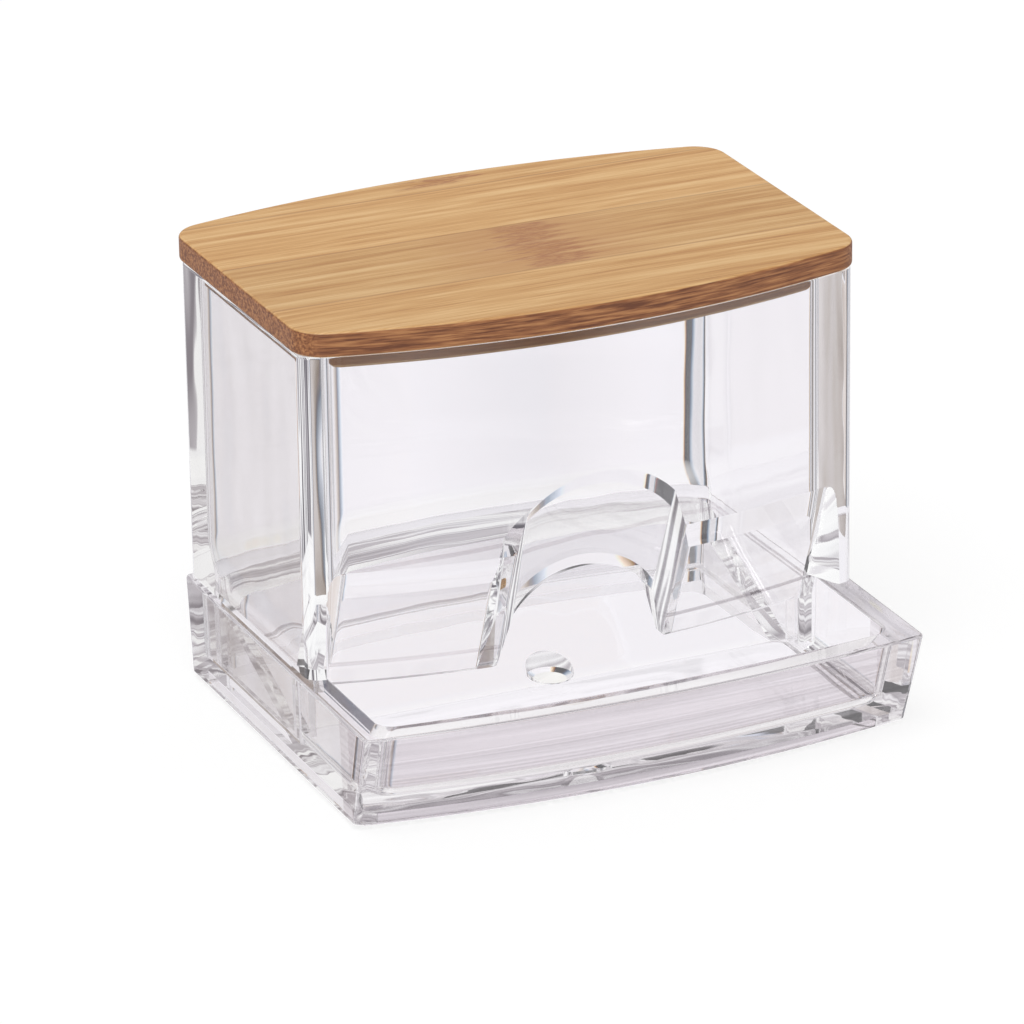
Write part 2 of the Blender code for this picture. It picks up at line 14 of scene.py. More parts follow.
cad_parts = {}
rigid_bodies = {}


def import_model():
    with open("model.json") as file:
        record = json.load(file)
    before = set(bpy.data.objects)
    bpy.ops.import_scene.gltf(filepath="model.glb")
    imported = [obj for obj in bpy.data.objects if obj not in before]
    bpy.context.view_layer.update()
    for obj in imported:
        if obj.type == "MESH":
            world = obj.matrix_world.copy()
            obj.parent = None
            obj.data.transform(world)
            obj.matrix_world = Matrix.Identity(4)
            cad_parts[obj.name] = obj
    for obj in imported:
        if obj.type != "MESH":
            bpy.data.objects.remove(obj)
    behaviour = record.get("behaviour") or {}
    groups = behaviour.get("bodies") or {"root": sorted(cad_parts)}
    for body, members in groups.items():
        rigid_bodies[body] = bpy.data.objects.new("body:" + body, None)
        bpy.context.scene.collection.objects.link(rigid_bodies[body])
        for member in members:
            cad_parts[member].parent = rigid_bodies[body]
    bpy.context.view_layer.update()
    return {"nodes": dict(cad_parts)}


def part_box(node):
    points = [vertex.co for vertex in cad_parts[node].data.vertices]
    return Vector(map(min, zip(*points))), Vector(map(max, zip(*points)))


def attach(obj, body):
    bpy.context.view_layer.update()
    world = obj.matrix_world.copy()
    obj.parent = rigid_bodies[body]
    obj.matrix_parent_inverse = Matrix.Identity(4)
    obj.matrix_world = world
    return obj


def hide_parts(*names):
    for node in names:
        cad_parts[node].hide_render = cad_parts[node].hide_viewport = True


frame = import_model()

base_low, base_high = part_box("base_tray")
hopper_low, hopper_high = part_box("hopper")
lid_low, lid_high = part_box("lid")

MM = 0.001
FIT_GAP = 0.3 * MM        # between pieces that rest on or in one another
CUT_OVERRUN = 2 * MM      # how far cutters run past what they cut
SHARP_CORNER = 0.2 * MM

# Base
BASE_RIM_HEIGHT = 16.9 * MM
BASE_WALL = 4.3 * MM
SOCKET_RECESS = 0.6 * MM
BASE_FRONT_BOW = 3.3 * MM
BASE_CORNER_RADIUS = 1.2 * MM
BASE_FOOT_SIDE_TAPER = 0.4 * MM
BASE_FOOT_REAR_TAPER = 0.8 * MM
BASE_FRONT_FLARE = 5.4 * MM
BASE_FOOT_EXTRA_BOW = 1.2 * MM
RIM_EDGE_ROUND = 0.4 * MM
TRAY_FLOOR_HEIGHT = 5 * MM
TRAY_CORNER_RADIUS = 2.8 * MM
TRAY_FLOOR_FILLET = 2.4 * MM
FLOOR_THICKNESS = 2.8 * MM
FOOT_RING_HEIGHT = 1.2 * MM
FOOT_RING_INSET = 2.2 * MM
FOOT_RING_WIDTH = 2.4 * MM

# Ramp
RAMP_START_OFFSET = 11.15 * MM
RAMP_ANGLE = math.radians(22.8)
RAMP_THICKNESS = 3 * MM
RAMP_BLEND_RADIUS = 12 * MM
RAMP_WEB = 2.2 * MM

# Gate mark on the tray floor
GATE_OFFSET = 13.3 * MM
GATE_RADIUS = 3.7 * MM
GATE_BOTTOM_RADIUS = 2.6 * MM
GATE_DEPTH = 0.7 * MM
GATE_STEP_DEPTH = 0.4 * MM

# Hopper
HOPPER_FRONT_BOW = 7 * MM
HOPPER_REAR_BOW = 5.6 * MM
HOPPER_SIDE_WALL = 5.4 * MM
HOPPER_FRONT_WALL = 5 * MM
HOPPER_REAR_WALL = 4.2 * MM
HOPPER_CORNER_RADIUS = 2.1 * MM
HOPPER_INNER_RADIUS = 3.3 * MM
SKIRT_WALL = 2.2 * MM
SHOULDER_LAND = 1.3 * MM
SHOULDER_RISE = 5.8 * MM
TOP_EDGE_ROUND = 0.4 * MM

# Front panel
CREASE_HEIGHT = 34.4 * MM
PANEL_BOTTOM_HEIGHT = 13.3 * MM
PANEL_LEAN = math.radians(21.3)
PANEL_WALL = 3.1 * MM
CHEEK_INSET = 5.8 * MM
CHEEK_WIDTH = 3.7 * MM
LEG_WIDTH = 3.4 * MM

# Finger bay in the panel
BAY_HALF_WIDTH = 13.9 * MM
BAY_CREASE_TAPER = 1.7 * MM
BAY_CREASE_RISE = 11.4 * MM
BAY_CREASE_RADIUS = 16.4 * MM
BAY_EDGE_TAPER = 2.4 * MM
BAY_EDGE_RISE = 14.7 * MM
BAY_EDGE_RADIUS = 13.8 * MM
BAY_CORNER_RADIUS = 1.2 * MM
BAY_FOOT_RADIUS = 0.5 * MM
BAY_INNER_GROWTH = 2.2 * MM

# Lid
LID_THICKNESS = 3.9 * MM
LID_CORNER_RADIUS = 5.5 * MM
LID_EDGE_ROUND = 0.5 * MM
LID_STEP_CLEARANCE = 0.4 * MM
LID_STEP_CHAMFER = 0.5 * MM

# Facets
BOW_STEPS = 40
CORNER_STEPS = 14
ROUND_STEPS = 6
FILLET_STEPS = 10
BAY_ARC_STEPS = 40
CHEEK_STEPS = 16
GATE_SIDES = 96
SHOULDER_STEPS = 20
SHARP_ANGLE = math.radians(18)
MERGE_DISTANCE = 0.001 * MM

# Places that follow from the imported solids
BASE_HALF = base_high.x
BASE_FRONT = base_low.y + BASE_FRONT_BOW
BASE_REAR = base_high.y - HOPPER_REAR_BOW
HOPPER_HALF = hopper_high.x
HOPPER_TOP = hopper_high.z
HOPPER_FRONT = hopper_low.y + HOPPER_FRONT_BOW
HOPPER_REAR = hopper_high.y - HOPPER_REAR_BOW
SKIRT_BOTTOM = hopper_low.z
LID_TOP = lid_high.z
LID_UNDERSIDE = LID_TOP - LID_THICKNESS
LID_STEP_BOTTOM = lid_low.z
SHOULDER_HEIGHT = BASE_RIM_HEIGHT + FIT_GAP
WIDENING_HEIGHT = SHOULDER_HEIGHT + SHOULDER_LAND
RIM_EDGE_HEIGHT = BASE_RIM_HEIGHT - RIM_EDGE_ROUND
SOCKET_INSET = BASE_WALL - SOCKET_RECESS
SKIRT_INSET = SOCKET_INSET + FIT_GAP
RAMP_INSET = SKIRT_INSET + SKIRT_WALL + FIT_GAP
PANEL_SLOPE = math.tan(PANEL_LEAN)
SOCKET_SETBACK = PANEL_SLOPE * (CREASE_HEIGHT - SHOULDER_HEIGHT) - FIT_GAP
PANEL_RISE = CREASE_HEIGHT - PANEL_BOTTOM_HEIGHT
LEDGE_SHARE = (CREASE_HEIGHT - SHOULDER_HEIGHT - FIT_GAP) / PANEL_RISE
OVERRUN_SHARE = CUT_OVERRUN / PANEL_RISE
MARGIN_SHARE = FIT_GAP / PANEL_RISE
CHEEK_START = HOPPER_HALF - CHEEK_INSET
CHEEK_END = CHEEK_START + CHEEK_WIDTH
LEG_INNER_HALF_WIDTH = BASE_HALF - SKIRT_INSET - LEG_WIDTH
RAMP_SLOPE = math.tan(RAMP_ANGLE)
RAMP_START = HOPPER_FRONT + RAMP_START_OFFSET
GATE_CENTRE_Y = HOPPER_FRONT + GATE_OFFSET

# Clear plastic: stops are a place on a ramp and a colour, grains are lengths along X, Y and Z
PLASTIC_IOR = 1.49
DEEPEST_RAY = 10          # bounces after which light in the plastic is taken as a pale glow
MOST_REFLECTIONS = 4      # reflections among them, likewise
SMEAR_GRAIN = (9 * MM, 9 * MM, 14 * MM)
SMEAR_START = 0.52
SMEAR_ROUGHNESS = 0.1
WAVE_GRAIN = (13 * MM, 13 * MM, 22 * MM)
WAVE_DEPTH = 0.09 * MM
LEVEL_GRAIN = (150 * MM, 80 * MM, 2.6 * MM)
UPRIGHT_GRAIN = (6 * MM, 6 * MM, 70 * MM)
LEANING_GRAIN = (1.0, 1.1 * MM, 40 * MM)
# Painted light and shade: streaks of the glow that spent light and the finger bay's side faces show
WALL_LIGHT = [
    (0.32, (0.16, 0.15, 0.17, 1.0)), (0.40, (0.45, 0.43, 0.46, 1.0)), (0.44, (0.94, 0.94, 0.95, 1.0)),
    (0.55, (0.98, 0.98, 0.98, 1.0)), (0.58, (0.55, 0.53, 0.56, 1.0)), (0.66, (0.24, 0.22, 0.25, 1.0)),
]
BASE_LIGHT = [
    (0.30, (0.24, 0.22, 0.24, 1.0)), (0.38, (0.62, 0.59, 0.62, 1.0)), (0.42, (0.40, 0.37, 0.40, 1.0)),
    (0.47, (0.90, 0.89, 0.91, 1.0)), (0.50, (0.52, 0.49, 0.52, 1.0)), (0.54, (0.97, 0.97, 0.97, 1.0)),
    (0.60, (0.66, 0.63, 0.66, 1.0)), (0.68, (0.30, 0.28, 0.30, 1.0)),
]
SHOULDER_LIGHT = [
    (0.30, (0.66, 0.64, 0.67, 1.0)), (0.40, (0.94, 0.94, 0.95, 1.0)), (0.60, (1.0, 1.0, 1.0, 1.0)),
    (0.72, (0.80, 0.78, 0.81, 1.0)),
]
SHOULDER_LIGHT_TOP = 26 * MM
SHOULDER_LIGHT_FADE = 1 * MM
CLEAR_TINT = (0.980, 0.977, 0.981, 1.0)
# Painted shade: grey level streaks mixed into the clear colour on the tray's leaning front and on the rim
FRONT_PAINTED_SHADES = [
    (0.34, (0.44, 0.41, 0.43, 1.0)), (0.42, (0.76, 0.72, 0.74, 1.0)), (0.47, (0.62, 0.58, 0.60, 1.0)),
    (0.53, (0.88, 0.85, 0.87, 1.0)), (0.58, (0.68, 0.64, 0.66, 1.0)), (0.66, (0.82, 0.78, 0.80, 1.0)),
]
FRONT_PAINTED_SHADE_END = BASE_FRONT + BASE_FRONT_FLARE + BASE_WALL
BAY_SIDE_SHINE = 0.75     # how much of the painted streaked glow shows on the side faces of the finger bay
BAY_SIDE_INSET = 1 * MM
BAY_SIDE_REACH = 1.3 * MM
BAY_SIDE_FADE = 0.2 * MM
BAY_SIDE_END_FADE = 1 * MM

# Which faces count as such, by the size of a part of their normal: its middle, half its range, its fade
UPRIGHT_FACE = (0.0, 0.6, 0.1)
SIDE_FACE = (1.0, 0.4, 0.2)
BOARD_EDGE_FACE = (1.0, 0.45, 0.35)
END_GRAIN_FACE = (1.0, 0.2, 0.4)

# Bamboo: the lid is glued from strips that run along X
STRIP_START = -24.9 * MM
STRIP_WIDTH = 19.7 * MM
STRIP_SHIFT = 0.37        # how far each strip's fibres are moved against the last one's, in metres
STRIP_SHADE_SPREAD = 0.12
STRIP_DARKEST_SHADE = 0.90
SEAM_HALF_WIDTH = 0.10 * MM
SEAM_FADE = 0.25 * MM
SEAM_STRENGTH = 0.45
FINE_GRAIN = (13 * MM, 0.22 * MM, 0.5 * MM)
BROAD_GRAIN = (60 * MM, 1.7 * MM, 2.5 * MM)
CLOUD_GRAIN = (30 * MM, 9 * MM, 9 * MM)
SPECKLE_GRAIN = (2.6 * MM, 0.34 * MM, 0.5 * MM)
PORE_GRAIN = (0.55 * MM, 0.55 * MM, 0.45 * MM)
EDGE_GRAIN = (7 * MM, 7 * MM, 0.35 * MM)
FINE_SHARE = 0.55
CLOUD_STRENGTH = 0.35
WOOD_TONES = [
    (0.32, (0.380, 0.160, 0.050, 1.0)), (0.42, (0.560, 0.290, 0.100, 1.0)),
    (0.50, (0.680, 0.400, 0.160, 1.0)), (0.62, (0.830, 0.560, 0.270, 1.0)),
]
# Painted shade: the board's edges get these darker tones on top of their own grain
EDGE_TONES_WITH_PAINTED_SHADE = [
    (0.36, (0.150, 0.046, 0.016, 1.0)), (0.50, (0.300, 0.112, 0.038, 1.0)),
    (0.63, (0.460, 0.205, 0.075, 1.0)),
]
CLOUD_TONE = (0.60, 0.33, 0.125, 1.0)
SEAM_TONE = (0.33, 0.15, 0.06, 1.0)
STREAK_TONE = (0.47, 0.215, 0.085, 1.0)
KNOT_TONE = (0.36, 0.135, 0.055, 1.0)
STEP_TONE = (0.52, 0.28, 0.14, 1.0)
STEP_TONE_SHARE = 0.6
STEP_FADE = 0.1 * MM
SPECKLE_SHARE = 0.75
SPECKLES = [(0.42, (0.0, 0.0, 0.0, 1.0)), (0.60, (1.0, 1.0, 1.0, 1.0))]
KNOT_X = 2.5 * MM
KNOT_Y = 4.65 * MM
KNOT_HALF_WIDTH = 3.2 * MM
KNOT_FADE = 3 * MM
KNOT_RAGGED = 26 * MM
KNOT_MARGIN = 0.6 * MM
KNOT_STRENGTH = 0.85
TAIL_SHIFT = 1 * MM
TAIL_HALF_WIDTH = 6 * MM
TAIL_FADE = 15 * MM
TAIL_STRENGTH = 0.75
REAR_KNOT_X = -1.5 * MM
REAR_KNOT_Y = 38 * MM
REAR_KNOT_HALF_WIDTH = 3.4 * MM
REAR_KNOT_HALF_DEPTH = 1.3 * MM
REAR_KNOT_FADE = 0.8 * MM
BAMBOO_ROUGHNESS = 0.62
BAMBOO_SHINE = 0.25       # how much smoother the lightest fibres are
FIBRE_DEPTH = 0.05 * MM
FIBRE_BUMP = 0.35

# Studio: the brightness that gloss and clear plastic see, by degrees from +Y towards +X, and its warmth
SURROUND = [
    (-180, 0.90, 0.0), (-162, 0.12, 0.0), (-150, 0.90, 0.0), (-125, 0.85, 0.0), (-112, 0.12, 0.0),
    (-98, 0.85, 0.0), (-84, 0.85, 0.0), (-72, 0.12, 0.02), (-58, 0.80, 0.0), (-29, 0.85, 0.0),
    (-24, 0.55, 0.0), (-19, 0.14, 0.02), (-10, 0.85, 0.0), (6, 0.90, 0.0), (12, 0.24, 0.0), (17, 0.97, 0.0),
    (31, 0.97, 0.0), (33.5, 0.08, 0.0), (42, 0.12, 0.0), (47, 0.80, 0.0), (62, 0.75, 0.0),
    (73, 0.14, 0.0), (84, 0.80, 0.0), (98, 0.85, 0.0), (112, 0.14, 0.0), (125, 0.85, 0.0),
    (150, 0.90, 0.0), (162, 0.14, 0.0), (180, 0.90, 0.0),
]
COLOUR_SPLIT = 0.5        # degrees by which red and blue part from green, as the plastic's edges show it
SURROUND_FADE_START = -0.75
SURROUND_FADE_END = -0.5
OVERHEAD = [(0.12, 0.10), (0.24, 0.14), (0.34, 0.95), (0.62, 0.85), (0.80, 0.30), (1.0, 0.70)]
WORLD_LIGHT = 0.5
FLOOR_HALF = 3000 * MM
FLOOR_SHADE = 0.22
FLOOR_GLOW = 0.80
SUN_STRENGTH = 0.55 * math.pi
SUN_WIDTH = math.radians(40)
SUN_TILT = (math.radians(20), math.radians(-20), 0)
LILAC = 0.02              # how much a grey of the plastic leans to lilac
WHITE = (1.0, 1.0, 1.0, 1.0)

# Camera, from the photo's edges
CAMERA_AZIMUTH = math.radians(-23.77)
CAMERA_ELEVATION = math.radians(21.80)
CAMERA_ROLL = math.radians(-0.87)
CAMERA_DISTANCE = 1031.98 * MM
CAMERA_TARGET = Vector((-5.31 * MM, 0.0, 32.34 * MM))
SENSOR_WIDTH = 36
IMAGE_WIDTH = 1024
FOCAL_PIXELS = 6778.51


class Outline:
    """A plan outline: straight sides, bowed front and rear, rounded corners."""

    def __init__(self, half, front, front_bow, rear, rear_bow, front_radius, rear_radius):
        self.half = half
        self.front = front
        self.front_bow = front_bow
        self.rear = rear
        self.rear_bow = rear_bow
        self.front_radius = front_radius
        self.rear_radius = rear_radius

    def front_arc(self):
        radius = (self.half ** 2 + self.front_bow ** 2) / (2 * self.front_bow)
        return radius, self.front - self.front_bow + radius

    def rear_arc(self):
        radius = (self.half ** 2 + self.rear_bow ** 2) / (2 * self.rear_bow)
        return radius, self.rear + self.rear_bow - radius

    def front_y(self, x, inset=0.0):
        """Y of the front bow at x, on a curve that lies inset inside it."""
        radius, centre = self.front_arc()
        return centre - math.sqrt((radius - inset) ** 2 - x ** 2)

    def rear_y(self, x, inset=0.0):
        """Y of the rear bow at x, on a curve that lies inset inside it."""
        radius, centre = self.rear_arc()
        return centre + math.sqrt((radius - inset) ** 2 - x ** 2)

    def points(self, inset=0.0, corner=None):
        """The outline as x, y points, counterclockwise from the middle of the front."""
        half = self.half - inset
        front_radius = self.front_radius - inset if corner is None else corner
        rear_radius = self.rear_radius - inset if corner is None else corner
        front_radius = max(front_radius, SHARP_CORNER)
        rear_radius = max(rear_radius, SHARP_CORNER)
        big, centre = self.front_arc()
        big -= inset
        corner_x = half - front_radius
        corner_y = centre - math.sqrt((big - front_radius) ** 2 - corner_x ** 2)
        turn = math.atan2(corner_y - centre, corner_x)
        half_outline = arc_points(0.0, centre, big, -math.pi / 2, turn, BOW_STEPS)
        half_outline += arc_points(corner_x, corner_y, front_radius, turn, 0.0, CORNER_STEPS)[1:]
        big, centre = self.rear_arc()
        big -= inset
        corner_x = half - rear_radius
        corner_y = centre + math.sqrt((big - rear_radius) ** 2 - corner_x ** 2)
        turn = math.atan2(corner_y - centre, corner_x)
        half_outline += arc_points(corner_x, corner_y, rear_radius, 0.0, turn, CORNER_STEPS)
        half_outline += arc_points(0.0, centre, big, turn, math.pi / 2, BOW_STEPS)[1:]
        mirrored = [(-x, y) for x, y in reversed(half_outline[1:-1])]
        return half_outline + mirrored


def arc_points(centre_x, centre_y, radius, start, end, steps):
    angles = [start + (end - start) * step / steps for step in range(steps + 1)]
    return [(centre_x + radius * math.cos(angle), centre_y + radius * math.sin(angle)) for angle in angles]


def round_path(points, radii, steps):
    """An open path in a plane whose inner points are rounded, each by its own radius."""
    path = [points[0]]
    for before, here, after, radius in zip(points, points[1:], points[2:], radii):
        back = Vector(before) - Vector(here)
        ahead = Vector(after) - Vector(here)
        half_angle = back.angle(ahead) / 2
        trim = min(radius / math.tan(half_angle), back.length / 2, ahead.length / 2)
        start = Vector(here) + back.normalized() * trim
        end = Vector(here) + ahead.normalized() * trim
        for step in range(steps + 1):
            share = step / steps
            path.append(tuple(start * (1 - share) ** 2 + Vector(here) * 2 * share * (1 - share)
                              + end * share ** 2))
    path.append(points[-1])
    return path


def new_object(name, vertices, faces):
    mesh = bpy.data.meshes.new(name)
    mesh.from_pydata(vertices, [], faces)
    work = bmesh.new()
    work.from_mesh(mesh)
    bmesh.ops.recalc_face_normals(work, faces=work.faces)
    work.to_mesh(mesh)
    work.free()
    made = bpy.data.objects.new(name, mesh)
    bpy.context.scene.collection.objects.link(made)
    return made


def loft(name, rings):
    """A closed solid through rings of equal count, each a height and its x, y points, capped flat."""
    count = len(rings[0][1])
    vertices = [(x, y, height) for height, ring in rings for x, y in ring]
    faces = [tuple(reversed(range(count)))]
    for level in range(len(rings) - 1):
        low = level * count
        high = low + count
        for index in range(count):
            following = (index + 1) % count
            faces.append((low + index, low + following, high + following, high + index))
    top = (len(rings) - 1) * count
    faces.append(tuple(range(top, top + count)))
    return new_object(name, vertices, faces)


def skin(name, columns):
    """A closed solid through columns of equal count, capped at the first and the last."""
    count = len(columns[0])
    vertices = [point for column in columns for point in column]
    last = len(vertices) - count
    faces = [tuple(range(count)), tuple(reversed(range(last, last + count)))]
    for row in range(0, last, count):
        for index in range(count):
            following = (index + 1) % count
            faces.append((row + index, row + count + index, row + count + following, row + following))
    return new_object(name, vertices, faces)


def bar(name, profile, half_length):
    """A y, z profile drawn out along X to both sides."""
    return skin(name, [[(x, y, z) for y, z in profile] for x in (-half_length, half_length)])


def combine(target, other, operation):
    modifier = target.modifiers.new(operation.lower() + "_" + other.name, "BOOLEAN")
    modifier.operation = operation
    modifier.solver = "EXACT"
    modifier.object = other


def finish_mesh(target):
    """Applies the modifiers, cleans the seams between cuts and shades the faces by their size."""
    graph = bpy.context.evaluated_depsgraph_get()
    mesh = bpy.data.meshes.new_from_object(target.evaluated_get(graph))
    target.modifiers.clear()
    work = bmesh.new()
    work.from_mesh(mesh)
    bmesh.ops.remove_doubles(work, verts=work.verts, dist=MERGE_DISTANCE)
    bmesh.ops.dissolve_degenerate(work, edges=work.edges, dist=MERGE_DISTANCE)
    bmesh.ops.recalc_face_normals(work, faces=work.faces)
    work.to_mesh(mesh)
    work.free()
    target.data = mesh
    mesh.shade_smooth()
    mesh.set_sharp_from_angle(angle=SHARP_ANGLE)
    weighted = target.modifiers.new("weighted_normals", "WEIGHTED_NORMAL")
    weighted.keep_sharp = True
    return target


def remove_cutters(keep):
    for made in list(bpy.data.objects):
        if made.type == "MESH" and made not in keep and made not in frame["nodes"].values():
            bpy.data.objects.remove(made, do_unlink=True)


HOPPER_OUTLINE = Outline(HOPPER_HALF, HOPPER_FRONT, HOPPER_FRONT_BOW, HOPPER_REAR, HOPPER_REAR_BOW,
                         HOPPER_CORNER_RADIUS, HOPPER_CORNER_RADIUS)
LID_OUTLINE = Outline(lid_high.x, lid_low.y + HOPPER_FRONT_BOW, HOPPER_FRONT_BOW,
                      lid_high.y - HOPPER_REAR_BOW, HOPPER_REAR_BOW, LID_CORNER_RADIUS, LID_CORNER_RADIUS)


def inner_outline():
    """The inside of the hopper's walls in plan, above the panel."""
    half = HOPPER_HALF - HOPPER_SIDE_WALL
    front = HOPPER_OUTLINE.front_y(half, HOPPER_FRONT_WALL)
    front_bow = front - HOPPER_OUTLINE.front_y(0.0, HOPPER_FRONT_WALL)
    rear = HOPPER_OUTLINE.rear_y(half, HOPPER_REAR_WALL)
    rear_bow = HOPPER_OUTLINE.rear_y(0.0, HOPPER_REAR_WALL) - rear
    return Outline(half, front, front_bow, rear, rear_bow, HOPPER_INNER_RADIUS, HOPPER_INNER_RADIUS)


HOPPER_INSIDE = inner_outline()


def skirt_outline(inset):
    """The hopper's plan inside the base: base outline at the sides and rear, hopper bow in front."""
    half = BASE_HALF - inset
    front_bow = HOPPER_FRONT_BOW * (half / HOPPER_HALF) ** 2
    rear_bow = HOPPER_REAR_BOW * (half / BASE_HALF) ** 2
    return Outline(half, HOPPER_OUTLINE.front_y(half), front_bow, BASE_REAR - inset, rear_bow,
                   0.0, TRAY_CORNER_RADIUS)


def bay_profile(foot, rise, radius, taper, growth):
    """The right half of an arch of the bay, from its middle out to the flat beside it."""
    apex = foot + rise + growth
    shoulder_x = BAY_HALF_WIDTH - taper + growth
    radius += growth
    end = math.asin(shoulder_x / radius)
    arc = [(radius * math.sin(end * step / BAY_ARC_STEPS),
            apex - radius * (1 - math.cos(end * step / BAY_ARC_STEPS))) for step in range(BAY_ARC_STEPS)]
    shoulder = (shoulder_x, apex - radius * (1 - math.cos(end)))
    foot_point = (BAY_HALF_WIDTH + growth, foot)
    outer = (BAY_HALF_WIDTH + growth + BAY_CREASE_TAPER, foot)
    bend = round_path([arc[-1], shoulder, foot_point, outer], [BAY_CORNER_RADIUS, BAY_FOOT_RADIUS],
                      CORNER_STEPS)
    return arc[:-1] + bend


def crease_profile(growth=0.0):
    return bay_profile(CREASE_HEIGHT, BAY_CREASE_RISE, BAY_CREASE_RADIUS, BAY_CREASE_TAPER, growth)


def edge_profile(growth=0.0):
    return bay_profile(PANEL_BOTTOM_HEIGHT, BAY_EDGE_RISE, BAY_EDGE_RADIUS, BAY_EDGE_TAPER, growth)


def mirrored_path(right):
    return [(-x, z) for x, z in reversed(right[1:])] + right


def eased(share):
    """A share from 0 to 1, slow at both ends."""
    return share * share * (3 - 2 * share)


def spread(start, end, steps):
    """Steps values from just after start up to end."""
    return [start + (end - start) * step / steps for step in range(1, steps + 1)]


def panel_point(crease_point, edge_point, share, inset):
    """A point of the leaning face, on the crease at share 0 and on the panel's bottom edge at share 1."""
    x = crease_point[0] + (edge_point[0] - crease_point[0]) * share
    drop = (crease_point[1] - edge_point[1]) * share
    return x, HOPPER_OUTLINE.front_y(x, inset) + PANEL_SLOPE * drop, crease_point[1] - drop


def front_cutter(name, inset, growth, cheeks):
    """Everything in front of the leaning face, which steps back from the crease to the panel's edge.

    With cheeks, the face comes forward again beside the panel, and meets the upright corners. The cheeks
    end just above the shoulder, and the legs below it stand back with the panel.
    """
    reach = HOPPER_HALF + CUT_OVERRUN
    crease = crease_profile(growth)
    edge = edge_profile(growth)
    beside = spread(crease[-1][0], CHEEK_START, BOW_STEPS)
    beside += spread(CHEEK_START, CHEEK_END, CHEEK_STEPS) + [reach]
    crease = mirrored_path(crease + [(x, CREASE_HEIGHT) for x in beside])
    edge = mirrored_path(edge + [(x, PANEL_BOTTOM_HEIGHT) for x in beside])
    ahead = BASE_FRONT - BASE_FRONT_BOW - CUT_OVERRUN
    columns = []
    for ends in zip(crease, edge):
        fade = 0.0
        if cheeks:
            fade = eased(min(max((abs(ends[0][0]) - CHEEK_START) / CHEEK_WIDTH, 0.0), 1.0))

        def cheek_point(share):
            x, y, z = panel_point(*ends, share, inset)
            upright = HOPPER_OUTLINE.front_y(x, inset) - FIT_GAP
            return x, y + (upright - y) * fade, z
        above = panel_point(*ends, -OVERRUN_SHARE, inset)
        below = panel_point(*ends, 1 + MARGIN_SHARE, inset)
        under_ledge = LEDGE_SHARE if fade > 0 else LEDGE_SHARE + MARGIN_SHARE
        columns.append([above, cheek_point(MARGIN_SHARE), cheek_point(LEDGE_SHARE),
                        panel_point(*ends, under_ledge, inset), below, (below[0], below[1], -CUT_OVERRUN),
                        (below[0], ahead, -CUT_OVERRUN), (above[0], ahead, above[2])])
    return skin(name, columns)


def window_cutter(name):
    """The opening below the panel, up to its bottom edge and the arch in it."""
    arch = mirrored_path(edge_profile() + [(LEG_INNER_HALF_WIDTH, PANEL_BOTTOM_HEIGHT)])
    profile = arch + [(LEG_INNER_HALF_WIDTH, -CUT_OVERRUN), (-LEG_INNER_HALF_WIDTH, -CUT_OVERRUN)]
    ahead = BASE_FRONT - BASE_FRONT_BOW
    return skin(name, [[(x, y, z) for x, z in profile] for y in (ahead, RAMP_START)])


def make_hopper():
    skirt = skirt_outline(SKIRT_INSET)
    inner_skirt = skirt_outline(SKIRT_INSET + SKIRT_WALL)
    rings = [(SKIRT_BOTTOM, skirt.points()), (SHOULDER_HEIGHT, skirt.points()),
             (SHOULDER_HEIGHT, HOPPER_OUTLINE.points())]
    for step in range(ROUND_STEPS + 1):
        turn = math.pi / 2 * step / ROUND_STEPS
        rings.append((HOPPER_TOP - TOP_EDGE_ROUND * (1 - math.sin(turn)),
                      HOPPER_OUTLINE.points(TOP_EDGE_ROUND * (1 - math.cos(turn)))))
    outer = loft("hopper_shell", rings)
    narrow = inner_skirt.points()
    wide = HOPPER_INSIDE.points()
    rings = [(-CUT_OVERRUN, narrow)]
    for step in range(SHOULDER_STEPS + 1):
        share = step / SHOULDER_STEPS
        blend = eased(share)
        ring = [(low[0] + (high[0] - low[0]) * blend, low[1] + (high[1] - low[1]) * blend)
                for low, high in zip(narrow, wide)]
        rings.append((WIDENING_HEIGHT + SHOULDER_RISE * share, ring))
    for step in range(ROUND_STEPS + 1):
        turn = math.pi / 2 * step / ROUND_STEPS
        rings.append((HOPPER_TOP - TOP_EDGE_ROUND * (1 - math.sin(turn)),
                      HOPPER_INSIDE.points(-TOP_EDGE_ROUND * (1 - math.cos(turn)))))
    rings.append((HOPPER_TOP + CUT_OVERRUN, rings[-1][1]))
    inside = loft("hopper_inside", rings)
    combine(inside, front_cutter("panel_inner_face", PANEL_WALL, BAY_INNER_GROWTH, False), "DIFFERENCE")
    combine(outer, front_cutter("panel_outer_face", 0.0, 0.0, True), "DIFFERENCE")
    combine(outer, inside, "DIFFERENCE")
    combine(outer, window_cutter("panel_window"), "DIFFERENCE")
    return finish_mesh(outer)


def base_ring(height, inset=0.0, corner=None):
    """The base's outside at a height: the front leans out from foot to rim, sides and rear a little."""
    share = max((RIM_EDGE_HEIGHT - height) / (RIM_EDGE_HEIGHT - FOOT_RING_HEIGHT), 0.0)
    level = Outline(BASE_HALF - BASE_FOOT_SIDE_TAPER * share, BASE_FRONT + BASE_FRONT_FLARE * share,
                    BASE_FRONT_BOW + BASE_FOOT_EXTRA_BOW * share, BASE_REAR - BASE_FOOT_REAR_TAPER * share,
                    HOPPER_REAR_BOW, BASE_CORNER_RADIUS, BASE_CORNER_RADIUS)
    return level.points(inset, corner)


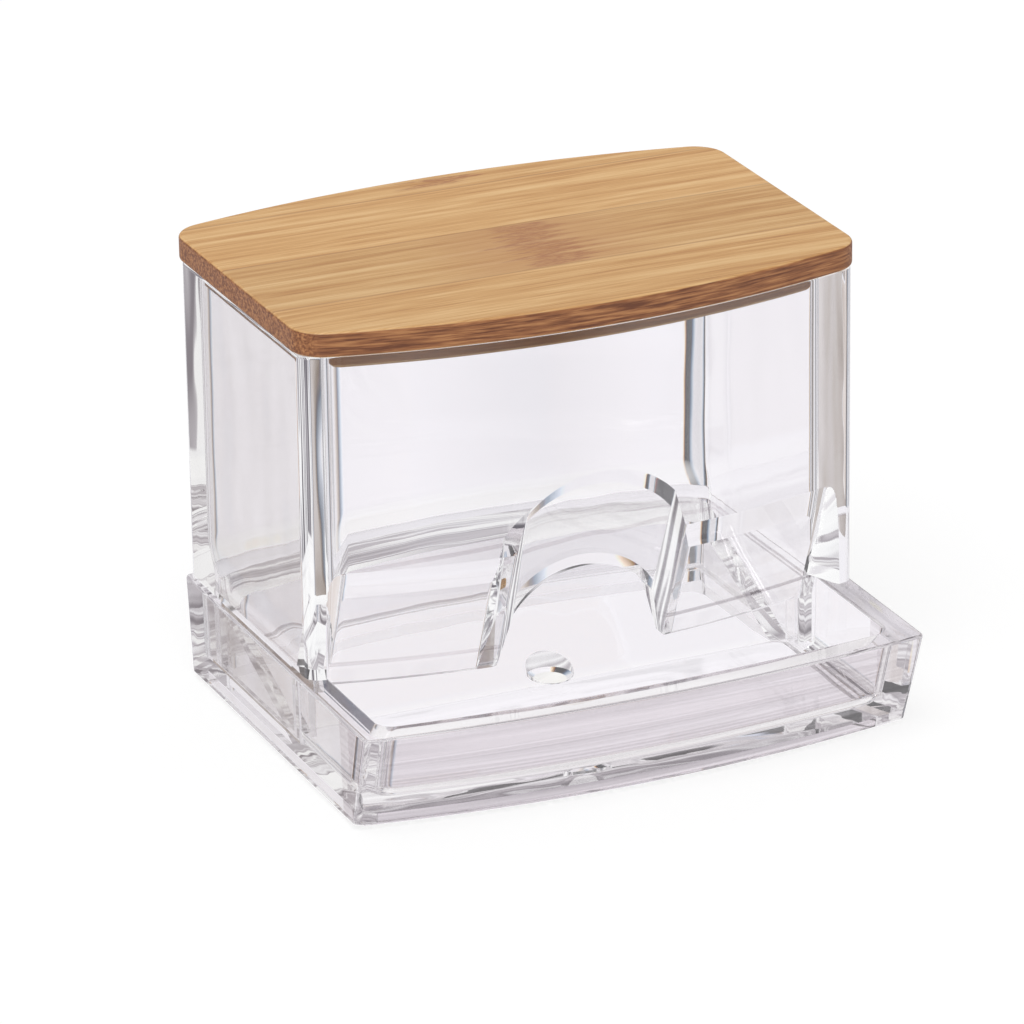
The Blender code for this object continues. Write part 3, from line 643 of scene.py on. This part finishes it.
def tray_rings():
    """The tray's hollow, from its rounded floor edge up past the rim."""
    rings = []
    for step in range(FILLET_STEPS + 1):
        turn = math.pi / 2 * step / FILLET_STEPS
        height = TRAY_FLOOR_HEIGHT + TRAY_FLOOR_FILLET * (1 - math.cos(turn))
        inset = BASE_WALL + TRAY_FLOOR_FILLET * (1 - math.sin(turn))
        rings.append((height, base_ring(height, inset, TRAY_CORNER_RADIUS)))
    for step in range(ROUND_STEPS + 1):
        turn = math.pi / 2 * step / ROUND_STEPS
        height = BASE_RIM_HEIGHT - RIM_EDGE_ROUND * (1 - math.sin(turn))
        inset = BASE_WALL - RIM_EDGE_ROUND * (1 - math.cos(turn))
        rings.append((height, base_ring(height, inset, TRAY_CORNER_RADIUS)))
    rings.append((BASE_RIM_HEIGHT + CUT_OVERRUN, rings[-1][1]))
    return rings


def socket_cutter():
    """Where the skirt stands: square to the floor, from just before the legs to the rear wall."""
    plan = skirt_outline(SOCKET_INSET).points()
    ring = [(x, y + SOCKET_SETBACK if y < RAMP_START else y) for x, y in plan]
    return loft("skirt_socket", [(TRAY_FLOOR_HEIGHT, ring), (BASE_RIM_HEIGHT + CUT_OVERRUN, ring)])


def ramp_profile():
    """The ramp's top in y, z: level with the floor, a blend, then the slope up past the rear wall."""
    level = (RAMP_START - RAMP_BLEND_RADIUS, TRAY_FLOOR_HEIGHT)
    bend = (RAMP_START, TRAY_FLOOR_HEIGHT)
    end_y = BASE_REAR + HOPPER_REAR_BOW
    end = (end_y, TRAY_FLOOR_HEIGHT + RAMP_SLOPE * (end_y - RAMP_START))
    return round_path([level, bend, end], [RAMP_BLEND_RADIUS], 2 * FILLET_STEPS)


def make_base():
    rings = [(FOOT_RING_HEIGHT, base_ring(FOOT_RING_HEIGHT))]
    for step in range(ROUND_STEPS + 1):
        turn = math.pi / 2 * step / ROUND_STEPS
        height = BASE_RIM_HEIGHT - RIM_EDGE_ROUND * (1 - math.sin(turn))
        rings.append((height, base_ring(height, RIM_EDGE_ROUND * (1 - math.cos(turn)))))
    body = loft("base_moulding", rings)
    foot = loft("foot_ring", [
        (0.0, base_ring(FOOT_RING_HEIGHT, FOOT_RING_INSET)),
        (TRAY_FLOOR_HEIGHT - FLOOR_THICKNESS / 2, base_ring(FOOT_RING_HEIGHT, FOOT_RING_INSET)),
    ])
    combine(body, foot, "UNION")
    combine(body, loft("tray_hollow", tray_rings()), "DIFFERENCE")
    combine(body, socket_cutter(), "DIFFERENCE")

    plan_ring = skirt_outline(RAMP_INSET).points()
    ramp = loft("ramp", [(TRAY_FLOOR_HEIGHT - FLOOR_THICKNESS / 2, plan_ring), (LID_TOP, plan_ring)])
    top = ramp_profile()
    under = [(top[-1][0], -CUT_OVERRUN), (top[0][0], -CUT_OVERRUN)]
    combine(ramp, bar("ramp_top", top + under, BASE_HALF), "INTERSECT")
    combine(body, ramp, "UNION")

    drop = RAMP_THICKNESS / math.cos(RAMP_ANGLE)
    under_floor = TRAY_FLOOR_HEIGHT - FLOOR_THICKNESS
    low_y = RAMP_START - (TRAY_FLOOR_HEIGHT - drop - under_floor) / RAMP_SLOPE
    high = (top[-1][0], top[-1][1] - drop)
    hollow_ring = skirt_outline(RAMP_INSET + RAMP_WEB).points()
    hollow = loft("ramp_hollow", [(-CUT_OVERRUN, hollow_ring), (LID_TOP, hollow_ring)])
    slope = [(low_y, under_floor), high, (high[0], -CUT_OVERRUN), (low_y, -CUT_OVERRUN)]
    combine(hollow, bar("ramp_underside", slope, BASE_HALF), "INTERSECT")
    combine(body, hollow, "DIFFERENCE")

    ring_inner = FOOT_RING_INSET + FOOT_RING_WIDTH
    recess = loft("floor_recess", [
        (-CUT_OVERRUN, base_ring(FOOT_RING_HEIGHT, ring_inner)),
        (under_floor, base_ring(FOOT_RING_HEIGHT, ring_inner)),
    ])
    combine(body, recess, "DIFFERENCE")

    def gate_ring(radius):
        return arc_points(0.0, GATE_CENTRE_Y, radius, 0.0, 2 * math.pi, GATE_SIDES)[:-1]
    gate_bottom = TRAY_FLOOR_HEIGHT - GATE_DEPTH
    gate = loft("gate_mark", [
        (gate_bottom, gate_ring(GATE_BOTTOM_RADIUS)),
        (gate_bottom + GATE_STEP_DEPTH, gate_ring(GATE_RADIUS)),
        (BASE_RIM_HEIGHT, gate_ring(GATE_RADIUS)),
    ])
    combine(body, gate, "DIFFERENCE")
    return finish_mesh(body)


def make_lid():
    """The board with the step milled under it."""
    step_plan = HOPPER_INSIDE.points(LID_STEP_CLEARANCE)
    rings = [
        (LID_STEP_BOTTOM, HOPPER_INSIDE.points(LID_STEP_CLEARANCE + LID_STEP_CHAMFER)),
        (LID_STEP_BOTTOM + LID_STEP_CHAMFER, step_plan),
        (LID_UNDERSIDE, step_plan),
    ]
    for height, rounding in ((LID_UNDERSIDE, -1), (LID_TOP, 1)):
        for step in range(ROUND_STEPS + 1):
            turn = math.pi / 2 * (step / ROUND_STEPS if rounding > 0 else 1 - step / ROUND_STEPS)
            rings.append((height - rounding * LID_EDGE_ROUND * (1 - math.sin(turn)),
                          LID_OUTLINE.points(LID_EDGE_ROUND * (1 - math.cos(turn)))))
    return finish_mesh(loft("bamboo_board", rings))


def link(tree, source, target):
    tree.links.new(source, target)


def math_node(tree, operation, *values):
    """A Math node with numbers or sockets put in, and its output."""
    node = tree.nodes.new("ShaderNodeMath")
    node.operation = operation
    for socket, value in zip(node.inputs, values):
        if isinstance(value, bpy.types.NodeSocket):
            link(tree, value, socket)
        else:
            socket.default_value = value
    return node.outputs[0]


def mix_colour(tree, factor, first, second, blend="MIX"):
    """A Mix node for two colours, each a socket or a value, and its output."""
    node = tree.nodes.new("ShaderNodeMix")
    node.data_type = "RGBA"
    node.blend_type = blend
    for name, value in (("Factor", factor), ("A", first), ("B", second)):
        socket = node.inputs[name]
        if isinstance(value, bpy.types.NodeSocket):
            link(tree, value, socket)
        else:
            socket.default_value = value
    return node.outputs["Result"]


def ramp_node(tree, value, stops):
    """A Color Ramp through stops of position and colour."""
    node = tree.nodes.new("ShaderNodeValToRGB")
    ramp = node.color_ramp
    while len(ramp.elements) < len(stops):
        ramp.elements.new(1.0)
    for element, (position, colour) in zip(ramp.elements, stops):
        element.position = position
        element.color = colour
    link(tree, value, node.inputs[0])
    return node.outputs["Color"]


def noise_node(tree, vector, stretch, detail, roughness=0.55):
    """Noise whose grains are stretch long along each axis, and its factor."""
    scale = tree.nodes.new("ShaderNodeVectorMath")
    scale.operation = "DIVIDE"
    link(tree, vector, scale.inputs[0])
    scale.inputs[1].default_value = stretch
    noise = tree.nodes.new("ShaderNodeTexNoise")
    noise.inputs["Scale"].default_value = 1.0
    noise.inputs["Detail"].default_value = detail
    noise.inputs["Roughness"].default_value = roughness
    link(tree, scale.outputs[0], noise.inputs["Vector"])
    return noise.outputs["Fac"]


def band(tree, value, centre, half_width, softness):
    """A mask that is 1 within half_width of centre and fades out over softness."""
    distance = math_node(tree, "ABSOLUTE", math_node(tree, "SUBTRACT", value, centre))
    node = tree.nodes.new("ShaderNodeMapRange")
    node.interpolation_type = "SMOOTHSTEP"
    link(tree, distance, node.inputs["Value"])
    node.inputs["From Min"].default_value = half_width
    node.inputs["From Max"].default_value = half_width + softness
    node.inputs["To Min"].default_value = 1.0
    node.inputs["To Max"].default_value = 0.0
    return node.outputs["Result"]


def map_node(tree, value, start, end):
    """The value's share of the way from start to end, kept between 0 and 1."""
    node = tree.nodes.new("ShaderNodeMapRange")
    link(tree, value, node.inputs["Value"])
    node.inputs["From Min"].default_value = start
    node.inputs["From Max"].default_value = end
    return node.outputs["Result"]


def split_node(tree, vector):
    """The X, Y and Z outputs of a vector."""
    node = tree.nodes.new("ShaderNodeSeparateXYZ")
    link(tree, vector, node.inputs[0])
    return tuple(node.outputs)


def product(tree, first, *others):
    """All the values multiplied."""
    for other in others:
        first = math_node(tree, "MULTIPLY", first, other)
    return first


def size_of(tree, value):
    """The value without its sign."""
    return math_node(tree, "ABSOLUTE", value)


def bump_node(tree, height, depth, strength):
    node = tree.nodes.new("ShaderNodeBump")
    node.inputs["Strength"].default_value = strength
    node.inputs["Distance"].default_value = depth
    link(tree, height, node.inputs["Height"])
    return node.outputs[0]


def grey(value, warmth=0.0):
    """A grey, a little lilac as in the plastic's shadows, or warm."""
    return (value * (1 + warmth), value * (1 - LILAC), value * (1 + LILAC - warmth), 1.0)


def tint_and_painted_shade(tree, level, place, normal):
    """Clear, with painted shade: grey level streaks on the tray's leaning front and on the rim."""
    y, z = place[1:]
    walls = band(tree, normal[2], *UPRIGHT_FACE)
    ahead = math_node(tree, "LESS_THAN", y, FRONT_PAINTED_SHADE_END)
    below = math_node(tree, "LESS_THAN", z, BASE_RIM_HEIGHT + FIT_GAP / 2)
    front = product(tree, walls, ahead, below)
    # Painted shade on the leaning front and on the rim
    rim = band(tree, z, BASE_RIM_HEIGHT, FIT_GAP / 2, FIT_GAP / 4)
    painted_shade_mask = math_node(tree, "MAXIMUM", front, rim)
    return mix_colour(tree, painted_shade_mask, CLEAR_TINT, ramp_node(tree, level, FRONT_PAINTED_SHADES))


def bay_side_mask(tree, place, normal):
    """1 on the side faces of the finger bay."""
    x, y, z = place
    sideways = band(tree, size_of(tree, normal[0]), *SIDE_FACE)
    beside = band(tree, size_of(tree, x), BAY_HALF_WIDTH - BAY_SIDE_INSET, BAY_SIDE_REACH, BAY_SIDE_FADE)
    ahead = math_node(tree, "LESS_THAN", y, 0.0)
    beyond = band(tree, z, CREASE_HEIGHT, PANEL_RISE, BAY_SIDE_END_FADE)
    return product(tree, sideways, beside, ahead, beyond)


def deep_glow(tree, level, position, place, bay_side):
    """A painted glow of light and shade for spent light: level streaks in the base, upright in the walls,
    leaning beside the bay.
    """
    y, z = place[1:]
    upright = noise_node(tree, position, UPRIGHT_GRAIN, detail=1.0)
    shoulder = band(tree, z, 0.0, SHOULDER_LIGHT_TOP, SHOULDER_LIGHT_FADE)
    colour = mix_colour(tree, shoulder, ramp_node(tree, upright, WALL_LIGHT),
                        ramp_node(tree, level, SHOULDER_LIGHT))
    base = band(tree, z, 0.0, BASE_RIM_HEIGHT, FIT_GAP)
    colour = mix_colour(tree, base, colour, ramp_node(tree, level, BASE_LIGHT))
    across = tree.nodes.new("ShaderNodeCombineXYZ")
    link(tree, math_node(tree, "MULTIPLY_ADD", z, PANEL_SLOPE, y), across.inputs[1])
    link(tree, z, across.inputs[2])
    leaning = noise_node(tree, across.outputs[0], LEANING_GRAIN, detail=1.0)
    return mix_colour(tree, bay_side, colour, ramp_node(tree, leaning, WALL_LIGHT))


def make_clear_plastic():
    """Polished plastic. Light that has gone round in it for long comes out as a painted glow of light and
    dark streaks, and the finger bay's side faces always show part of that painted glow.
    """
    material = bpy.data.materials.new("clear_plastic")
    material.use_nodes = True
    tree = material.node_tree
    shader = tree.nodes["Principled BSDF"]
    shader.inputs["Transmission Weight"].default_value = 1.0
    shader.inputs["IOR"].default_value = PLASTIC_IOR
    coordinates = tree.nodes.new("ShaderNodeTexCoord")
    position = coordinates.outputs["Object"]
    place = split_node(tree, position)
    normal = split_node(tree, coordinates.outputs["Normal"])
    level = noise_node(tree, position, LEVEL_GRAIN, detail=1.0)
    link(tree, tint_and_painted_shade(tree, level, place, normal), shader.inputs["Base Color"])

    # Faint smears, and the slight waves of moulded walls
    smears = noise_node(tree, position, SMEAR_GRAIN, detail=4.0)
    roughness = product(tree, math_node(tree, "SUBTRACT", smears, SMEAR_START), SMEAR_ROUGHNESS)
    link(tree, math_node(tree, "MAXIMUM", roughness, 0.0), shader.inputs["Roughness"])
    waves = noise_node(tree, position, WAVE_GRAIN, detail=1.0)
    link(tree, bump_node(tree, waves, WAVE_DEPTH, 1.0), shader.inputs["Normal"])

    path = tree.nodes.new("ShaderNodeLightPath")
    deep = math_node(tree, "GREATER_THAN", path.outputs["Ray Depth"], DEEPEST_RAY - 0.5)
    bounced = math_node(tree, "GREATER_THAN", path.outputs["Glossy Depth"], MOST_REFLECTIONS - 0.5)
    spent = math_node(tree, "MAXIMUM", deep, bounced)
    bay_side = bay_side_mask(tree, place, normal)
    glow = tree.nodes.new("ShaderNodeEmission")
    link(tree, deep_glow(tree, level, position, place, bay_side), glow.inputs["Color"])
    mix = tree.nodes.new("ShaderNodeMixShader")
    # The finger bay's side faces always show part of the painted glow
    link(tree, math_node(tree, "MAXIMUM", spent, product(tree, bay_side, BAY_SIDE_SHINE)), mix.inputs[0])
    link(tree, shader.outputs[0], mix.inputs[1])
    link(tree, glow.outputs[0], mix.inputs[2])
    link(tree, mix.outputs[0], tree.nodes["Material Output"].inputs["Surface"])
    return material


def moved_fibres(tree, position, strip):
    """The position, moved along X by strip, so that each strip has its own stretch of fibre."""
    shift = tree.nodes.new("ShaderNodeCombineXYZ")
    link(tree, product(tree, strip, STRIP_SHIFT), shift.inputs[0])
    moved = tree.nodes.new("ShaderNodeVectorMath")
    link(tree, position, moved.inputs[0])
    link(tree, shift.outputs[0], moved.inputs[1])
    return moved.outputs[0]


def strip_wood(tree, along, strip, fibres, cloud):
    """The strips' own tones, with glue lines between them."""
    tone = tree.nodes.new("ShaderNodeTexWhiteNoise")
    tone.noise_dimensions = "1D"
    link(tree, strip, tone.inputs["W"])
    wood = ramp_node(tree, fibres, WOOD_TONES)
    wood = mix_colour(tree, product(tree, cloud, CLOUD_STRENGTH), wood, CLOUD_TONE)
    strip_shade = math_node(tree, "MULTIPLY_ADD", tone.outputs["Value"], STRIP_SHADE_SPREAD,
                            STRIP_DARKEST_SHADE)
    shade = tree.nodes.new("ShaderNodeCombineColor")
    for socket in shade.inputs:
        link(tree, strip_shade, socket)
    wood = mix_colour(tree, 1.0, wood, shade.outputs[0], "MULTIPLY")
    edge = math_node(tree, "PINGPONG", along, 0.5)
    seam = band(tree, edge, 0.0, SEAM_HALF_WIDTH / STRIP_WIDTH, SEAM_FADE / STRIP_WIDTH)
    return mix_colour(tree, product(tree, seam, SEAM_STRENGTH), wood, SEAM_TONE)


def add_knots(tree, wood, place, fibre_place, fine, broad):
    """The knot line across one strip, with darker streaks that run out of it, and one in the rear strip."""
    x, y = place[:2]
    ragged = product(tree, math_node(tree, "SUBTRACT", broad, 0.5), KNOT_RAGGED)
    knot_x = math_node(tree, "ADD", x, ragged)
    in_strip = band(tree, y, KNOT_Y, STRIP_WIDTH / 2 - KNOT_MARGIN, KNOT_MARGIN)
    core = product(tree, band(tree, knot_x, KNOT_X, KNOT_HALF_WIDTH, KNOT_FADE), in_strip)
    tail = product(tree, band(tree, knot_x, KNOT_X - TAIL_SHIFT, TAIL_HALF_WIDTH, TAIL_FADE), in_strip)
    rear = product(tree, band(tree, knot_x, REAR_KNOT_X, REAR_KNOT_HALF_WIDTH, KNOT_FADE),
                   band(tree, y, REAR_KNOT_Y, REAR_KNOT_HALF_DEPTH, REAR_KNOT_FADE))
    speckle = noise_node(tree, fibre_place, SPECKLE_GRAIN, detail=3.0, roughness=0.7)
    speckle = ramp_node(tree, speckle, SPECKLES)
    core = math_node(tree, "MAXIMUM", core, rear)
    spotted = math_node(tree, "MULTIPLY_ADD", speckle, SPECKLE_SHARE, 1 - SPECKLE_SHARE)
    dots = product(tree, core, spotted)
    streaks = product(tree, tail, product(tree, fine, TAIL_STRENGTH))
    wood = mix_colour(tree, streaks, wood, STREAK_TONE)
    return mix_colour(tree, product(tree, dots, KNOT_STRENGTH), wood, KNOT_TONE)


def add_edges(tree, wood, position, place, normal):
    """Edges, darkened with painted shade: end grain at the sides, streaks in front and behind, and a
    lighter step under the board.
    """
    upright = math_node(tree, "SUBTRACT", 1.0, size_of(tree, normal[2]))
    upright = band(tree, upright, *BOARD_EDGE_FACE)
    sideways = band(tree, size_of(tree, normal[0]), *END_GRAIN_FACE)
    pores = noise_node(tree, position, PORE_GRAIN, detail=2.0, roughness=0.7)
    grain = noise_node(tree, position, EDGE_GRAIN, detail=3.0, roughness=0.6)
    side = ramp_node(tree, mix_colour(tree, sideways, grain, pores), EDGE_TONES_WITH_PAINTED_SHADE)
    board = band(tree, place[2], LID_TOP, LID_THICKNESS, STEP_FADE)
    step = mix_colour(tree, STEP_TONE_SHARE, side, STEP_TONE)
    return mix_colour(tree, upright, wood, mix_colour(tree, board, step, side))


def make_bamboo():
    """Strips of bamboo along X, with fine fibres, a knot line and edges darkened with painted shade."""
    material = bpy.data.materials.new("bamboo")
    material.use_nodes = True
    tree = material.node_tree
    shader = tree.nodes["Principled BSDF"]
    coordinates = tree.nodes.new("ShaderNodeTexCoord")
    position = coordinates.outputs["Object"]
    place = split_node(tree, position)
    normal = split_node(tree, coordinates.outputs["Normal"])
    along = math_node(tree, "DIVIDE", math_node(tree, "SUBTRACT", place[1], STRIP_START), STRIP_WIDTH)
    strip = math_node(tree, "FLOOR", along)
    fibre_place = moved_fibres(tree, position, strip)
    fine = noise_node(tree, fibre_place, FINE_GRAIN, detail=4.0, roughness=0.65)
    broad = noise_node(tree, fibre_place, BROAD_GRAIN, detail=2.0)
    cloud = noise_node(tree, fibre_place, CLOUD_GRAIN, detail=2.0)
    fibres = math_node(tree, "ADD", product(tree, fine, FINE_SHARE), product(tree, broad, 1 - FINE_SHARE))
    wood = strip_wood(tree, along, strip, fibres, cloud)
    wood = add_knots(tree, wood, place, fibre_place, fine, broad)
    wood = add_edges(tree, wood, position, place, normal)
    link(tree, wood, shader.inputs["Base Color"])
    roughness = math_node(tree, "MULTIPLY_ADD", fibres, -BAMBOO_SHINE, BAMBOO_ROUGHNESS)
    link(tree, roughness, shader.inputs["Roughness"])
    link(tree, bump_node(tree, fibres, FIBRE_DEPTH, FIBRE_BUMP), shader.inputs["Normal"])
    return material


def studio_screens(tree, x, y):
    """Bright screens with dark gaps all round, whose edges part a little into colours."""
    turn = math_node(tree, "MULTIPLY_ADD", math_node(tree, "ARCTAN2", x, y), 0.5 / math.pi, 0.5)
    stops = [(0.5 + angle / 360, grey(level, warmth)) for angle, level, warmth in SURROUND]
    screens = tree.nodes.new("ShaderNodeCombineColor")
    for channel, shift in enumerate((-COLOUR_SPLIT, 0.0, COLOUR_SPLIT)):
        parts = tree.nodes.new("ShaderNodeSeparateColor")
        link(tree, ramp_node(tree, math_node(tree, "ADD", turn, shift / 360), stops), parts.inputs[0])
        link(tree, parts.outputs[channel], screens.inputs[channel])
    return screens.outputs[0]


def make_world():
    """White for the camera. Gloss and clear plastic see a white sweep with darker gaps between screens."""
    world = bpy.data.worlds.new("studio")
    bpy.context.scene.world = world
    world.use_nodes = True
    tree = world.node_tree
    tree.nodes.clear()
    coordinates = tree.nodes.new("ShaderNodeTexCoord")
    x, y, z = split_node(tree, coordinates.outputs["Generated"])
    level = map_node(tree, z, SURROUND_FADE_START, SURROUND_FADE_END)
    below = mix_colour(tree, level, WHITE, studio_screens(tree, x, y))
    above = ramp_node(tree, z, [(height, grey(shade)) for height, shade in OVERHEAD])
    around = mix_colour(tree, map_node(tree, z, 0.0, OVERHEAD[0][0]), below, above)

    path = tree.nodes.new("ShaderNodeLightPath")
    seen = tree.nodes.new("ShaderNodeBackground")
    link(tree, mix_colour(tree, path.outputs["Is Camera Ray"], around, WHITE), seen.inputs["Color"])
    light = tree.nodes.new("ShaderNodeBackground")
    light.inputs["Color"].default_value = WHITE
    light.inputs["Strength"].default_value = WORLD_LIGHT
    mix = tree.nodes.new("ShaderNodeMixShader")
    link(tree, path.outputs["Is Diffuse Ray"], mix.inputs["Fac"])
    link(tree, seen.outputs[0], mix.inputs[1])
    link(tree, light.outputs[0], mix.inputs[2])
    output = tree.nodes.new("ShaderNodeOutputWorld")
    link(tree, mix.outputs[0], output.inputs["Surface"])


def floor_material():
    """White with a little shade. Gloss and clear plastic see the white sweep in its place."""
    material = bpy.data.materials.new("floor_white")
    material.use_nodes = True
    tree = material.node_tree
    tree.nodes.clear()
    diffuse = tree.nodes.new("ShaderNodeBsdfDiffuse")
    diffuse.inputs["Color"].default_value = (FLOOR_SHADE, FLOOR_SHADE, FLOOR_SHADE, 1.0)
    glow = tree.nodes.new("ShaderNodeEmission")
    glow.inputs["Strength"].default_value = FLOOR_GLOW
    add = tree.nodes.new("ShaderNodeAddShader")
    link(tree, diffuse.outputs[0], add.inputs[0])
    link(tree, glow.outputs[0], add.inputs[1])
    path = tree.nodes.new("ShaderNodeLightPath")
    through = math_node(tree, "MAXIMUM", path.outputs["Is Glossy Ray"], path.outputs["Is Transmission Ray"])
    clear = tree.nodes.new("ShaderNodeBsdfTransparent")
    mix = tree.nodes.new("ShaderNodeMixShader")
    link(tree, through, mix.inputs[0])
    link(tree, add.outputs[0], mix.inputs[1])
    link(tree, clear.outputs[0], mix.inputs[2])
    output = tree.nodes.new("ShaderNodeOutputMaterial")
    link(tree, mix.outputs[0], output.inputs["Surface"])
    return material


def make_floor():
    """A pale floor that keeps the shadow."""
    corners = [(-FLOOR_HALF, -FLOOR_HALF, 0), (FLOOR_HALF, -FLOOR_HALF, 0), (FLOOR_HALF, FLOOR_HALF, 0),
               (-FLOOR_HALF, FLOOR_HALF, 0)]
    mesh = bpy.data.meshes.new("floor")
    mesh.from_pydata(corners, [], [(0, 1, 2, 3)])
    mesh.materials.append(floor_material())
    floor = bpy.data.objects.new("floor", mesh)
    bpy.context.scene.collection.objects.link(floor)


def make_lamps():
    lamp = bpy.data.lights.new("key", "SUN")
    lamp.energy = SUN_STRENGTH
    lamp.angle = SUN_WIDTH
    key = bpy.data.objects.new("key", lamp)
    key.rotation_euler = SUN_TILT
    bpy.context.scene.collection.objects.link(key)


def make_camera():
    flat = math.cos(CAMERA_ELEVATION)
    back = Vector((math.sin(CAMERA_AZIMUTH) * flat, -math.cos(CAMERA_AZIMUTH) * flat,
                   math.sin(CAMERA_ELEVATION)))
    right = (-back).cross(Vector((0, 0, 1))).normalized()
    up = right.cross(-back)
    turned_right = right * math.cos(CAMERA_ROLL) + up * math.sin(CAMERA_ROLL)
    turned_up = up * math.cos(CAMERA_ROLL) - right * math.sin(CAMERA_ROLL)
    data = bpy.data.cameras.new("camera")
    data.sensor_width = SENSOR_WIDTH
    data.lens = FOCAL_PIXELS / IMAGE_WIDTH * SENSOR_WIDTH
    camera = bpy.data.objects.new("camera", data)
    camera.matrix_world = (Matrix.Translation(CAMERA_TARGET + back * CAMERA_DISTANCE)
                           @ Matrix((turned_right, turned_up, back)).transposed().to_4x4())
    bpy.context.scene.collection.objects.link(camera)
    bpy.context.scene.camera = camera


def build():
    bpy.context.scene.view_settings.view_transform = "Standard"
    clear = make_clear_plastic()
    bamboo = make_bamboo()
    pieces = []
    for piece, node, body, slot, material in (
            (make_base(), "base_tray", "body", "clear_plastic", clear),
            (make_hopper(), "hopper", "body", "clear_plastic", clear),
            (make_lid(), "lid", "lid", "bamboo", bamboo)):
        piece.data.materials.append(material)
        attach(piece, body)
        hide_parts(node)
        pieces.append(piece)
    remove_cutters(pieces)
    make_world()
    make_floor()
    make_lamps()
    make_camera()


build()
